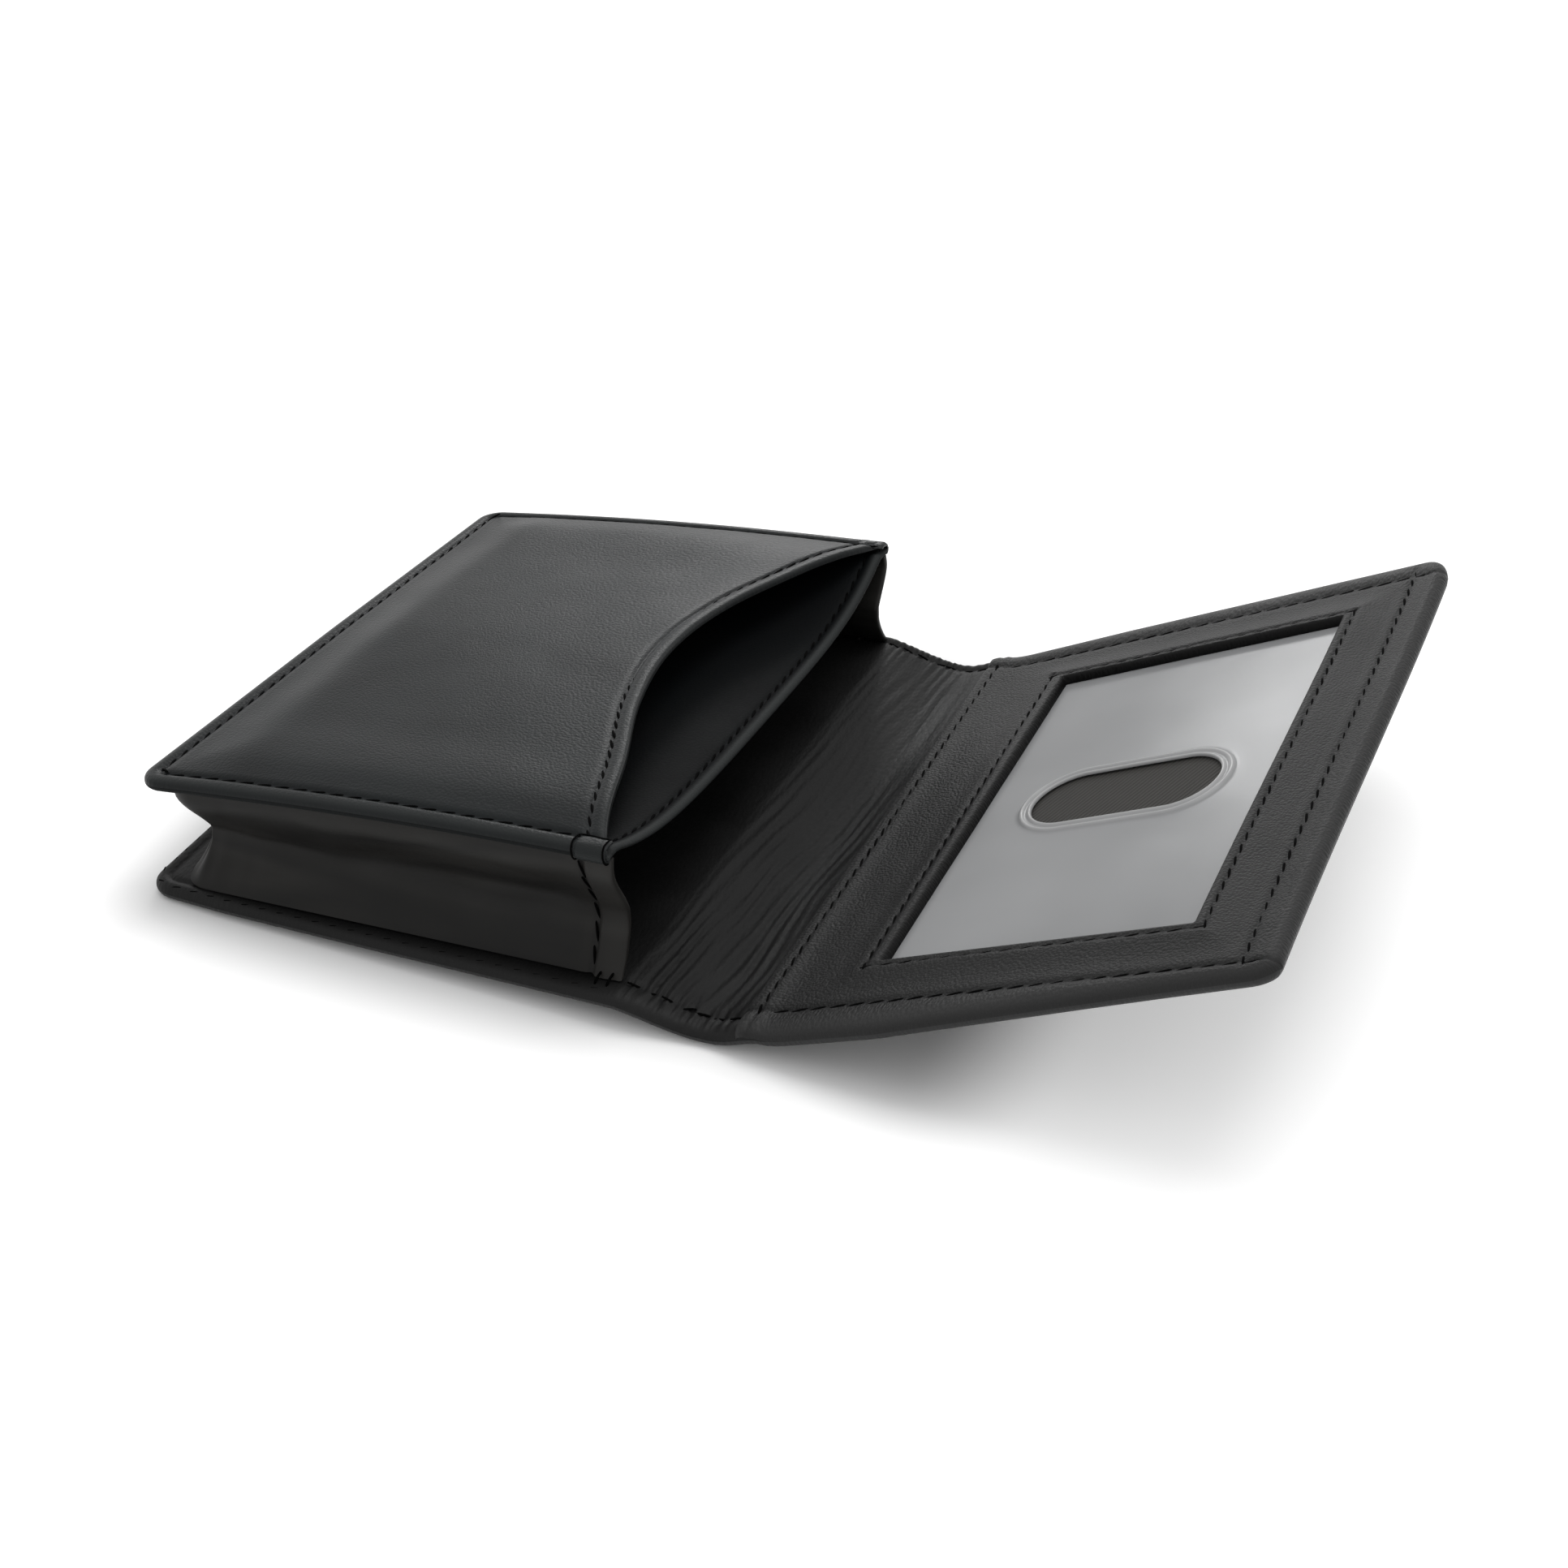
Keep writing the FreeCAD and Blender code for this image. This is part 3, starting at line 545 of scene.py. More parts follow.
def leather(name, tones, worn, pebble, rough, grain, streak=1.0, shine=0.5):
    """Chrome-tanned calf leather, dyed through, with a pressed grain and a waxed top coat.

    The eye sees small pebbles with fine pores, slow patches of sheen, and edges worn paler. Shade
    is painted into the colour, darker along seams, creases and the window's wall where a piece
    marks it. Pebble is the width of a pebble and grain its height, in millimetres."""
    material, tree = begin(name)
    dark, light = tones
    place = add(tree, "ShaderNodeTexCoord").outputs["UV"]
    drawn = add(
        tree, "ShaderNodeMapping", {"Scale": (1.0, streak, 1.0)}, {"Vector": place}
    ).outputs["Vector"]
    pebbles = add(
        tree, "ShaderNodeTexVoronoi", {"Scale": 1 / (pebble * MM), "Randomness": 0.9},
        {"Vector": drawn}, voronoi_dimensions="2D", feature="SMOOTH_F1",
    )
    pores = add(
        tree, "ShaderNodeTexNoise",
        {"Scale": 1 / (0.35 * pebble * MM), "Detail": 3.0, "Roughness": 0.6},
        {"Vector": place}, noise_dimensions="2D",
    ).outputs["Fac"]
    patches = add(
        tree, "ShaderNodeTexNoise", {"Scale": 1 / (14 * MM), "Detail": 4.0, "Roughness": 0.55},
        {"Vector": place}, noise_dimensions="2D",
    ).outputs["Fac"]
    hide = add(
        tree, "ShaderNodeMapRange",
        {"From Min": 0.3, "From Max": 0.72, "To Min": 0.0, "To Max": 1.0}, {"Value": patches},
    )
    tone = add(
        tree, "ShaderNodeMix", {"A": dark, "B": light},
        {"Factor": hide.outputs["Result"]}, data_type="RGBA",
    )
    edge = add(tree, "ShaderNodeAttribute", attribute_name="rubbed")
    speckle = add(
        tree, "ShaderNodeMath", {1: 0.75, 2: 0.45}, {0: pores}, operation="MULTIPLY_ADD"
    )
    rub = add(
        tree, "ShaderNodeMath", None,
        {0: edge.outputs["Fac"], 1: speckle.outputs["Value"]}, operation="MULTIPLY",
    )
    rubbed = add(
        tree, "ShaderNodeMix", {"B": linear(worn)},
        {"Factor": rub.outputs["Value"], "A": tone.outputs["Result"]}, data_type="RGBA",
    )
    # Painted shade: the colour is darkened towards near black where the piece marks it, in seam
    # grooves, creases and the window's wall.
    painted_shade_attribute = add(tree, "ShaderNodeAttribute", attribute_name="inked")
    inked = add(
        tree, "ShaderNodeMix", {"B": linear("#060606")},
        {"Factor": painted_shade_attribute.outputs["Fac"], "A": rubbed.outputs["Result"]}, data_type="RGBA",
    )
    gloss = add(
        tree, "ShaderNodeMapRange",
        {"From Min": 0.3, "From Max": 0.7, "To Min": rough - 0.02, "To Max": rough + 0.025},
        {"Value": patches},
    )
    height = add(
        tree, "ShaderNodeMath", {1: 0.35}, {0: pores, 2: pebbles.outputs["Distance"]},
        operation="MULTIPLY_ADD",
    )
    relief = add(
        tree, "ShaderNodeBump", {"Strength": 1.0, "Distance": grain * MM},
        {"Height": height.outputs["Value"]}, invert=True,
    )
    complete(
        tree, {"IOR": 1.5, "Specular IOR Level": shine},
        {"Base Color": inked.outputs["Result"], "Roughness": gloss.outputs["Result"],
         "Normal": relief.outputs["Normal"]},
    )
    return material


def panel_leather():
    """The front panel: the firm, waxed side of the hide, with a soft sheen."""
    tones = linear("#121415"), colour("leather")
    return leather("waxed calf panel", tones, "#2c2e2e", 0.5, 0.36, 0.036, shine=0.10)


def divider_leather():
    """The divider: the same hide, less waxed, with its tone painted darker as painted shade for
    the pocket it lies in.
    """
    # Painted shade: both tones are far darker than the front panel's.
    tones = linear("#060809"), linear("#08090a")
    return leather("calf divider", tones, "#343636", 0.45, 0.6, 0.03, shine=0.04)


def cover_leather():
    """The outside of the case: the same hide, handled more."""
    tones = linear("#131415"), linear("#191a1b")
    return leather("waxed calf cover", tones, "#2e2e2e", 0.55, 0.46, 0.09, shine=0.2)


def window_leather():
    """The ID panel: a finer, slightly greyer skin."""
    tones = linear("#1a1a1a"), linear("#1f1f1f")
    return leather("fine calf window panel", tones, "#343434", 0.45, 0.46, 0.085, shine=0.11)


def gusset_leather():
    """Thin skived leather, matt and a little brown."""
    tones = linear("#0c0b0a"), linear("#1b1a18")
    return leather("skived gusset leather", tones, "#2b2a28", 0.7, 0.54, 0.10, shine=0.2)


def lining_leather():
    """Soft lining leather, semi-gloss, with pebbles drawn out along the case's width."""
    tones = linear("#101010"), linear("#171717")
    return leather("soft lining leather", tones, "#2a2a2a", 0.5, 0.5, 0.045, 0.45, shine=0.12)


def thread_finish():
    """Bonded black polyester thread, two strands twisted: a dull dark line, finely ridged."""
    material, tree = begin("bonded thread")
    place = add(tree, "ShaderNodeTexCoord").outputs["Object"]
    # A strand is 0.25 mm across. Its twist is too fine to show, and is drawn at 0.9 mm.
    twist = add(
        tree, "ShaderNodeTexWave", {"Scale": 1 / (3.0 * MM), "Distortion": 1.5, "Detail": 1.0},
        {"Vector": place}, wave_type="BANDS", bands_direction="DIAGONAL",
    ).outputs["Fac"]
    tone = add(
        tree, "ShaderNodeMix", {"A": linear("#010101"), "B": colour("thread")},
        {"Factor": twist}, data_type="RGBA",
    )
    relief = add(
        tree, "ShaderNodeBump", {"Strength": 0.6, "Distance": 0.06 * MM}, {"Height": twist}
    )
    complete(
        tree, {"Roughness": 0.85, "Specular IOR Level": 0.03},
        {"Base Color": tone.outputs["Result"], "Normal": relief.outputs["Normal"]},
    )
    return material


def woven(name, warp, weft, spacing, turn):
    """A woven cloth: ribs a thread apart, with darker gaps and a slight slub."""
    material, tree = begin(name)
    place = add(tree, "ShaderNodeTexCoord").outputs["UV"]
    turned = add(
        tree, "ShaderNodeMapping", {"Rotation": (0, 0, math.radians(turn))}, {"Vector": place}
    ).outputs["Vector"]
    # A wave's band is 2 pi over 20 of its scale's unit, so the scale is 0.314 over the spacing.
    ribs = add(
        tree, "ShaderNodeTexWave",
        {"Scale": 0.314 / (spacing * MM), "Distortion": 0.6, "Detail": 2.0},
        {"Vector": turned}, wave_type="BANDS", bands_direction="X",
    ).outputs["Fac"]
    slub = add(
        tree, "ShaderNodeTexNoise", {"Scale": 1 / (2.5 * MM), "Detail": 3.0},
        {"Vector": turned}, noise_dimensions="2D",
    )
    mixed = add(
        tree, "ShaderNodeMath", {1: 0.35}, {0: slub.outputs["Fac"], 2: ribs},
        operation="MULTIPLY_ADD",
    )
    tone = add(
        tree, "ShaderNodeMix", {"A": weft, "B": warp},
        {"Factor": mixed.outputs["Value"]}, data_type="RGBA",
    )
    relief = add(
        tree, "ShaderNodeBump", {"Strength": 0.7, "Distance": 0.12 * MM}, {"Height": ribs}
    )
    complete(
        tree, {"Roughness": 0.85},
        {"Base Color": tone.outputs["Result"], "Normal": relief.outputs["Normal"]},
    )
    return material


def twill_cloth():
    """Cotton twill behind the window: steep diagonal ribs 0.75 mm apart."""
    return woven("cotton twill", colour("twill"), linear("#191815"), 0.75, 28)


def lining_cloth():
    """Plain black lining cloth inside the card slot."""
    return woven("lining cloth", linear("#1c1c1d"), linear("#101011"), 0.5, 0)


def window_film():
    """Soft clear PVC, cast: milky with age, semi-gloss, with slow waves that break up the light.
    Its pale grey is partly the film's milkiness and partly painted reflection of the white studio,
    as its specular level is low."""
    material, tree = begin("clear soft PVC")
    place = add(tree, "ShaderNodeTexCoord").outputs["Object"]
    haze = add(
        tree, "ShaderNodeTexNoise", {"Scale": 1 / (30 * MM), "Detail": 2.0}, {"Vector": place}
    )
    # Partly painted reflection: the film's grey is raised to stand in for the white studio it
    # reflects.
    tone = add(
        tree, "ShaderNodeMix", {"A": linear("#7e7f80"), "B": linear("#a0a1a2")},
        {"Factor": haze.outputs["Fac"]}, data_type="RGBA",
    )
    # Painted highlight: the bead's ridges are painted paler, for the light they catch.
    painted_bead_highlight = add(tree, "ShaderNodeAttribute", attribute_name="rubbed")
    ridged = add(
        tree, "ShaderNodeMix", {"B": linear("#b4b4b4")},
        {"Factor": painted_bead_highlight.outputs["Fac"], "A": tone.outputs["Result"]}, data_type="RGBA",
    )
    wave = add(
        tree, "ShaderNodeTexNoise", {"Scale": 1 / (11 * MM), "Detail": 1.5}, {"Vector": place}
    )
    relief = add(
        tree, "ShaderNodeBump", {"Strength": 0.3, "Distance": 0.22 * MM},
        {"Height": wave.outputs["Fac"]},
    )
    complete(
        tree, {"Roughness": 0.2, "Specular IOR Level": 0.16, "IOR": 1.53, "Alpha": 0.8},
        {"Base Color": ridged.outputs["Result"], "Normal": relief.outputs["Normal"]},
    )
    return material


def fibre_board():
    """Grey-brown fibre board: pressed pulp, matt, with short fibres."""
    material, tree = begin("fibre board")
    place = add(tree, "ShaderNodeTexCoord").outputs["Object"]
    pulp = add(
        tree, "ShaderNodeTexNoise", {"Scale": 1 / (1.5 * MM), "Detail": 6.0, "Roughness": 0.7},
        {"Vector": place},
    )
    tone = add(
        tree, "ShaderNodeMix", {"A": linear("#4f463c"), "B": linear("#6b6052")},
        {"Factor": pulp.outputs["Fac"]}, data_type="RGBA",
    )
    complete(tree, {"Roughness": 0.9}, {"Base Color": tone.outputs["Result"]})
    return material


# The name of each finish's material, once it is made.
FINISHES = {}


def coat(mesh, finish):
    """The mesh's only material. A finish is made for the first piece that has it."""
    material = bpy.data.materials.get(FINISHES.get(finish, ""))
    if material is None:
        material = finish()
        FINISHES[finish] = material.name
    mesh.materials.clear()
    mesh.materials.append(material)


def dress(piece, finish, slot, *nodes):
    """Gives a piece its finish and says which nodes it stands for."""
    coat(piece.data, finish)
    if nodes:
        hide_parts(*nodes)
    return piece


def stitched(piece, *nodes):
    """A row of stitches or a tack in the case's thread."""
    return dress(piece, thread_finish, "thread", *nodes)


# ---------------------------------------------------------------- the case's shapes

# Distances inside an edge at which a sheet has lines, for a rolled edge and for the cover's.
ROLLED = (0, 0.05, 0.18, 0.4, 0.7, 1.1, 1.5, 2.0)
COVER_EDGE = ROLLED + (2.4, 2.7, 3.0, 4.0, 5.0)


def case_shape(s, y):
    """Points of the case's outline with rounded corners, and their distance inside the edge."""
    x2, y2 = rounded(s, y, S_END, CORNER)
    return x2, y2, np.minimum(np.minimum(s, S_END - s), HALF - np.abs(y))


def case_cover(name, start, end):
    """The outer leather over a stretch of the case. Its edges roll up round the rim."""

    def face(s, y):
        x2, y2, d = case_shape(s, y)
        t = stack(s)
        return spread(x2, y2, -t / 2 - 0.01 - (t / 2 - 1.0) * roll(d, t / 2))

    def back(s, y):
        x2, y2, d = case_shape(s, y)
        t = stack(s)
        soft = 0.12 * bump(d - 2.7, 0.5) + 0.04 * ripple(s, y, 9, 9, 3)
        return spread(x2, y2, -t / 2 - 0.03 - (t / 2 - 0.03) * roll(d, t / 2) + soft * (d > 0.6))

    def rubbed(s, y):
        _, _, d = case_shape(s, y)
        return 0.8 * bump(d - 0.2, 0.8)

    near, far = (COVER_EDGE, (0,)) if start == 0 else ((0,), COVER_EDGE)
    along = start + lines(end - start, near, far, 1.3)
    across = -HALF + lines(2 * HALF, COVER_EDGE, COVER_EDGE, 2.0)
    return sheet_of(name, along, across, face, back, rubbed=rubbed)


def lining_relief(s, y):
    """Height of the spine lining's wrinkles. They crowd towards the near edge and the folds."""
    on_spine = smooth((s - S_FOLD + 0.5) / 3) * smooth((S_CREASE - 1.0 - s) / 6)
    near = 0.58 + 0.47 * smooth((25 - y) / 79) + 0.35 * bump(y + HALF, 16)
    slanted = s - 0.06 * y + 1.0 * ripple(s, y, 12, 40, 11) + 0.3 * ripple(s, y, 4, 10, 13)
    phase = slanted / 1.85 + 0.8 * ripple(s, y, 5, 20, 5)
    share = np.clip(0.5 + 0.9 * ripple(s, y, 5, 16, 6), 0, 1)
    long_folds = np.sin(2 * math.pi * phase) * share + 0.5 * creases(slanted, y, 3.2, 22, 10)
    fine = ripple(slanted, y, 0.9, 9, 7)
    gathers = np.sin(2 * math.pi * (s / 1.15 + ripple(s, y, 5, 9, 8)))
    hem = bump(np.abs(y) - HALF + 1.6, 1.6) * gathers
    swell = ripple(s, y, 9, 30, 9)
    height = near * (0.18 * long_folds + 0.1 * fine) + 0.12 * swell + 0.13 * hem
    return on_spine * height


def lining_piece(name, start, end, drop_from=None):
    """The soft leather inside the case over a stretch of it, rolled at the edges."""

    def top_height(s, y, d):
        t = stack(s)
        seam_dip = -0.28 * bump(d - 2.3, 0.45)
        edge = 0.12 * bump(d - 1.2, 0.6)
        held = smooth(d / 1.2)
        base = -t / 2 + (t / 2) * roll(d, t / 2) + seam_dip + edge
        if drop_from is not None:
            base = base - 1.0 * smooth((s - drop_from) / 2.0) * roll(d, 0.8)
        return base + lining_relief(s, y) * (0.25 + 0.75 * held)

    def shape(s, y):
        x2, y2, d = case_shape(s, y)
        wander = 0.07 * ripple(s, y, 1.6, 6, 12) * bump(d, 1.2)
        wander = wander * smooth((s - S_FOLD) / 3) * smooth((S_CREASE - s) / 3)
        return x2, y2 + np.sign(y) * wander, d

    def face(s, y):
        x2, y2, d = shape(s, y)
        return spread(x2, y2, top_height(s, y, d))

    def back(s, y):
        x2, y2, d = shape(s, y)
        t = stack(s)
        low = -t / 2 + 0.03 - (t / 2 - 1.06) * roll(d, t / 2)
        if drop_from is not None:
            low = low - 0.2 * smooth((s - drop_from) / 2.0) * roll(d, 0.8)
        return spread(x2, y2, np.minimum(low, top_height(s, y, d) - 0.25 * roll(d, 0.6) - 0.01))

    # Paler at the worn rim and on the wrinkles' crests.
    def rubbed(s, y):
        _, _, d = case_shape(s, y)
        return 0.45 * bump(d - 0.7, 0.9) + 0.30 * np.clip(lining_relief(s, y) * 1.6, 0, 1)

    # Painted shade: a dark line painted along the seam's groove.
    def inked(s, y):
        _, _, d = case_shape(s, y)
        return 0.4 * bump(d - 2.3, 0.35)

    edge = ROLLED + (2.15, 2.3, 2.45, 2.8, 3.4, 4.2)
    fine_start = max(start, S_FOLD - 2)
    parts = []
    if start < fine_start:
        parts.append(start + lines(fine_start - start, edge, (0,), 2.0))
    parts.append(fine_start + lines(end - fine_start, (0,), (0,), 0.34))
    along = np.unique(np.round(np.concatenate(parts), 4))
    across = -HALF + lines(2 * HALF, edge, edge, 1.15)
    return sheet_of(name, along, across, face, back, rubbed=rubbed, inked=inked)


# ---------------------------------------------------------------- the pocket

# The mouth's edge: places across the pocket and how far the edge is from the closed end.
MOUTH = (
    (-54, 76.3), (-50.4, 74.6), (-31.4, 68.6), (-13.8, 62.7), (2.3, 60.0),
    (18.5, 61.3), (36, 67.4), (51.3, 74.4), (54, 75.3),
)
# How far the seams run inside the pocket's rim and inside each mouth.
RIM_SEAM, MOUTH_SEAM = 2.7, 2.5


def lean(x, y):
    """How far the pocket's top stands above its CAD place there."""
    share = np.clip(np.asarray(x, float) / LENGTH, 0, 1)
    slope = size("lean_closed") + (size("lean_mouth") - size("lean_closed")) * share
    far = np.clip(np.asarray(y) / HALF, 0, 1)
    return -0.1 + 0.5 * share - slope * np.asarray(y) / HALF - 0.6 * far * (1 - 0.4 * share)


def on_rim(x, y, z):
    """Points over the pocket's top: z above the divider's underside."""
    return placed(RIM, RIM_TILT, x, y, z + lean(x, y))


def on_pocket_front(piece):
    """The piece rides on the pocket's front."""
    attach(piece, "pocket_front")
    near, far = on_rim(38.0, -HALF, 0.0), on_rim(38.0, HALF, 0.0)
    ahead = on_rim(76.0, 0.0, 0.0) - on_rim(0.0, 0.0, 0.0)
    normal = np.cross(ahead.ravel(), (far - near).ravel())
    normal = tuple(normal / np.linalg.norm(normal))
    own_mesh(piece)
    return piece


def mouth(y):
    """Where the front panel's mouth edge is."""
    return through(MOUTH, np.asarray(y, float))


def mouth_slope(y):
    """How x changes along the mouth's edge, and the edge's length for each millimetre of y."""
    change = mouth(y + 0.5) - mouth(y - 0.5)
    return change, np.sqrt(1 + change**2)


def front_shape(x, y):
    """Points of the front panel, their distance inside the sewn rim and inside the mouth.

    x runs from 0 at the closed end to LENGTH at the mouth's edge, and is drawn in to it."""
    inside_mouth = LENGTH - x
    drawn_in = mouth(y) - inside_mouth * mouth_slope(y)[1]
    weight = smooth((x - 6) / (LENGTH - 14))
    placed_x = x * (1 - weight) + drawn_in * weight
    x2, y2 = rounded(placed_x, y, 400.0, CORNER)
    rim = np.minimum(placed_x, HALF - np.abs(y))
    return x2, y2, rim, inside_mouth


def crown(x, y, rim):
    """The front panel's soft crown. It falls away in a broad roll towards the closed end."""
    level = smooth(rim / 16) * (0.45 + 0.25 * ripple(x, y, 30, 30, 21))
    level = level + 1.1 * (1 - np.clip(np.asarray(y) / HALF, -1, 1) ** 2) * smooth(x / 14)
    drop = smooth((x - 3) / 13) * smooth((HALF - np.abs(y)) / 10)
    return level + 0.75 * drop + 0.12 * ripple(x, y, 13, 20, 23) * smooth(rim / 8)


def front_height(x, y, rim, inside_mouth):
    """The front panel's upper face: rolled rim, sunk seams, a slight crown between."""
    half = FRONT_STACK / 2
    height = half + half * roll(rim, half)
    height = height + 0.10 * bump(rim - 1.4, 0.8) - 0.36 * bump(rim - RIM_SEAM, 0.45)
    lip = 0.08 * bump(inside_mouth - 1.2, 0.7) - 0.30 * bump(inside_mouth - MOUTH_SEAM, 0.42)
    height = height + lip * smooth(rim / 2)
    height = height - 0.5 * (1 - roll(inside_mouth, 0.5)) * smooth((rim - 0.3) / 1.0)
    return height + crown(x, y, rim) + 0.05 * ripple(x, y, 8, 8, 22) * smooth(rim / 3)


def bow(x, y):
    """The near and far rims stand a little higher half way along them."""
    return 0.9 * np.sin(math.pi * np.clip(x / LENGTH, 0, 1)) * smooth((np.abs(y) - 30) / 24)


def divider_sag(x, y):
    """How far the divider hangs below the rim."""
    start, deepest, half = 8.8, 5.5, 50
    run = np.clip((x - start) / (LENGTH - start), 0, 1)
    return deepest * run * (1 - np.clip(np.abs(y) / half, 0, 1) ** 4)


def divider_hang(x, y):
    """The same with the divider's slow waves, which die out at the rim."""
    rim = np.minimum(x, HALF - np.abs(y))
    return divider_sag(x, y) + 0.25 * ripple(x, y, 18, 26, 31) * smooth((rim - 2) / 10)


def front_panel():
    """The pocket's front, with its curved mouth."""

    def face(x, y):
        x2, y2, rim, inner = front_shape(x, y)
        return on_rim(x2, y2, front_height(x, y, rim, inner) + bow(x2, y2))

    def back(x, y):
        x2, y2, rim, inner = front_shape(x, y)
        low = FRONT_STACK / 2 + 0.02 + 0.05 * roll(rim, 1.0)
        return on_rim(x2, y2, low + crown(x, y, rim) + bow(x2, y2))

    def rubbed(x, y):
        _, _, rim, inner = front_shape(x, y)
        return np.clip(0.9 * bump(rim - 0.8, 0.7) + 0.7 * bump(inner - 0.5, 0.6), 0, 1)

    rim_lines = ROLLED + (2.4, 2.55, 2.7, 2.85, 3.05, 3.5, 4.2, 5.0)
    mouth_lines = (0, 0.05, 0.2, 0.45, 0.8, 1.2, 1.7, 2.1, 2.35, 2.5, 2.65, 2.9, 3.4, 4.2)
    along = lines(LENGTH, rim_lines, mouth_lines, 1.6)
    across = -HALF + lines(2 * HALF, rim_lines, rim_lines, 1.6)
    return sheet_of("front_panel_leather", along, across, face, back, rubbed=rubbed)


def divider():
    """The panel behind the front one. Its mouth edge is straight, and hangs."""
    half = FRONT_STACK / 2

    def shape(x, y):
        x2, y2 = rounded(x, y, 400.0, CORNER)
        return x2, y2, np.minimum(x, HALF - np.abs(y)), LENGTH - x

    def heights(x, y, rim, inner):
        top = half - 0.02 - (half - 0.8) * roll(rim, half)
        low = half - 0.04 - (half - 0.04) * roll(rim, half)
        lip = 0.22 * bump(inner - 0.9, 0.7) * smooth((rim - 1) / 3)
        dip = 0.26 * bump(inner - MOUTH_SEAM, 0.42) * smooth((rim - 1) / 3)
        closing = 1 - roll(inner, 0.7)
        middle = (top + low) / 2
        top = top + lip - dip - 0.05 * smooth(rim / 4)
        low = low - 0.5 * lip
        top = top + (middle - top + 0.02) * closing * smooth((rim - 0.6) / 1.0)
        low = low + (middle - low - 0.02) * closing * smooth((rim - 0.6) / 1.0)
        return [side - divider_hang(x, y) + bow(x, y) for side in (top, low)]

    def face(x, y):
        x2, y2, rim, inner = shape(x, y)
        return on_rim(x2, y2, heights(x, y, rim, inner)[0])

    def back(x, y):
        x2, y2, rim, inner = shape(x, y)
        return on_rim(x2, y2, heights(x, y, rim, inner)[1])

    def rubbed(x, y):
        _, _, rim, inner = shape(x, y)
        return np.clip(0.9 * bump(rim - 0.8, 0.7) + 1.0 * bump(inner - 0.6, 0.7), 0, 1)

    rim_lines = ROLLED + (2.7, 3.6, 5.0)
    mouth_lines = (0, 0.04, 0.15, 0.35, 0.6, 0.9, 1.3, 1.8, 2.1, 2.35, 2.5, 2.65, 2.9, 3.4)
    along = lines(LENGTH, rim_lines, mouth_lines, 2.2)
    across = -HALF + lines(2 * HALF, rim_lines, rim_lines, 1.5)
    return sheet_of("divider_leather", along, across, face, back, rubbed=rubbed)


def under_front(x, y, up):
    """Points under the front panel."""
    x2, y2, rim, _ = front_shape(x, y)
    return on_rim(x2, y2, up + crown(x, y, rim) + bow(x2, y2))


def under_divider(x, y, up):
    """Points under the divider."""
    return on_rim(x, y, up - divider_hang(x, y) + bow(x, y))


def inner_cloth(name, under, inset, end, heights):
    """The cloth glued under the front panel or under the divider."""
    upper, lower = heights
    along = lines(end, (inset,), (0,), 3)
    across = -HALF + lines(2 * HALF, (inset,), (inset,), 3)
    return sheet_of(
        name, along, across, lambda x, y: under(x, y, upper), lambda x, y: under(x, y, lower)
    )


def flat_area(piece):
    """Half of a thin sheet's surface, in square metres."""
    return sum(p.area for p in piece.data.polygons) / 2


# ---------------------------------------------------------------- the gusset

SIDE_INSET, END_INSET, FOLD_DEPTH, GUSSET_LEATHER = 1.5, 3.5, 4.0, 0.8
GUSSET_CORNER = 4.5
GUSSET_SIDE = LENGTH - END_INSET - GUSSET_CORNER
GUSSET_TURN = GUSSET_CORNER * math.pi / 2
GUSSET_RUN = 2 * GUSSET_SIDE + 2 * GUSSET_TURN + 2 * (HALF - SIDE_INSET - GUSSET_CORNER)
# The hem's seam, from the gusset's end.
HEM_SEAM = 4.9


def gusset_path(t):
    """Points and inward normals on the gusset's U at fractions t of its length."""
    s = np.minimum(t, 1 - t) * GUSSET_RUN
    side = np.where(t > 0.5, 1, -1)
    turned = np.clip((s - GUSSET_SIDE) / GUSSET_CORNER, 0, math.pi / 2)
    before = np.clip(GUSSET_SIDE - s, 0, None)
    after = np.clip(s - GUSSET_SIDE - GUSSET_TURN, 0, None)
    x = END_INSET + GUSSET_CORNER * (1 - np.sin(turned)) + before
    y = HALF - SIDE_INSET - GUSSET_CORNER * (1 - np.cos(turned)) - after
    return x, side * y, np.sin(turned), -side * np.cos(turned)


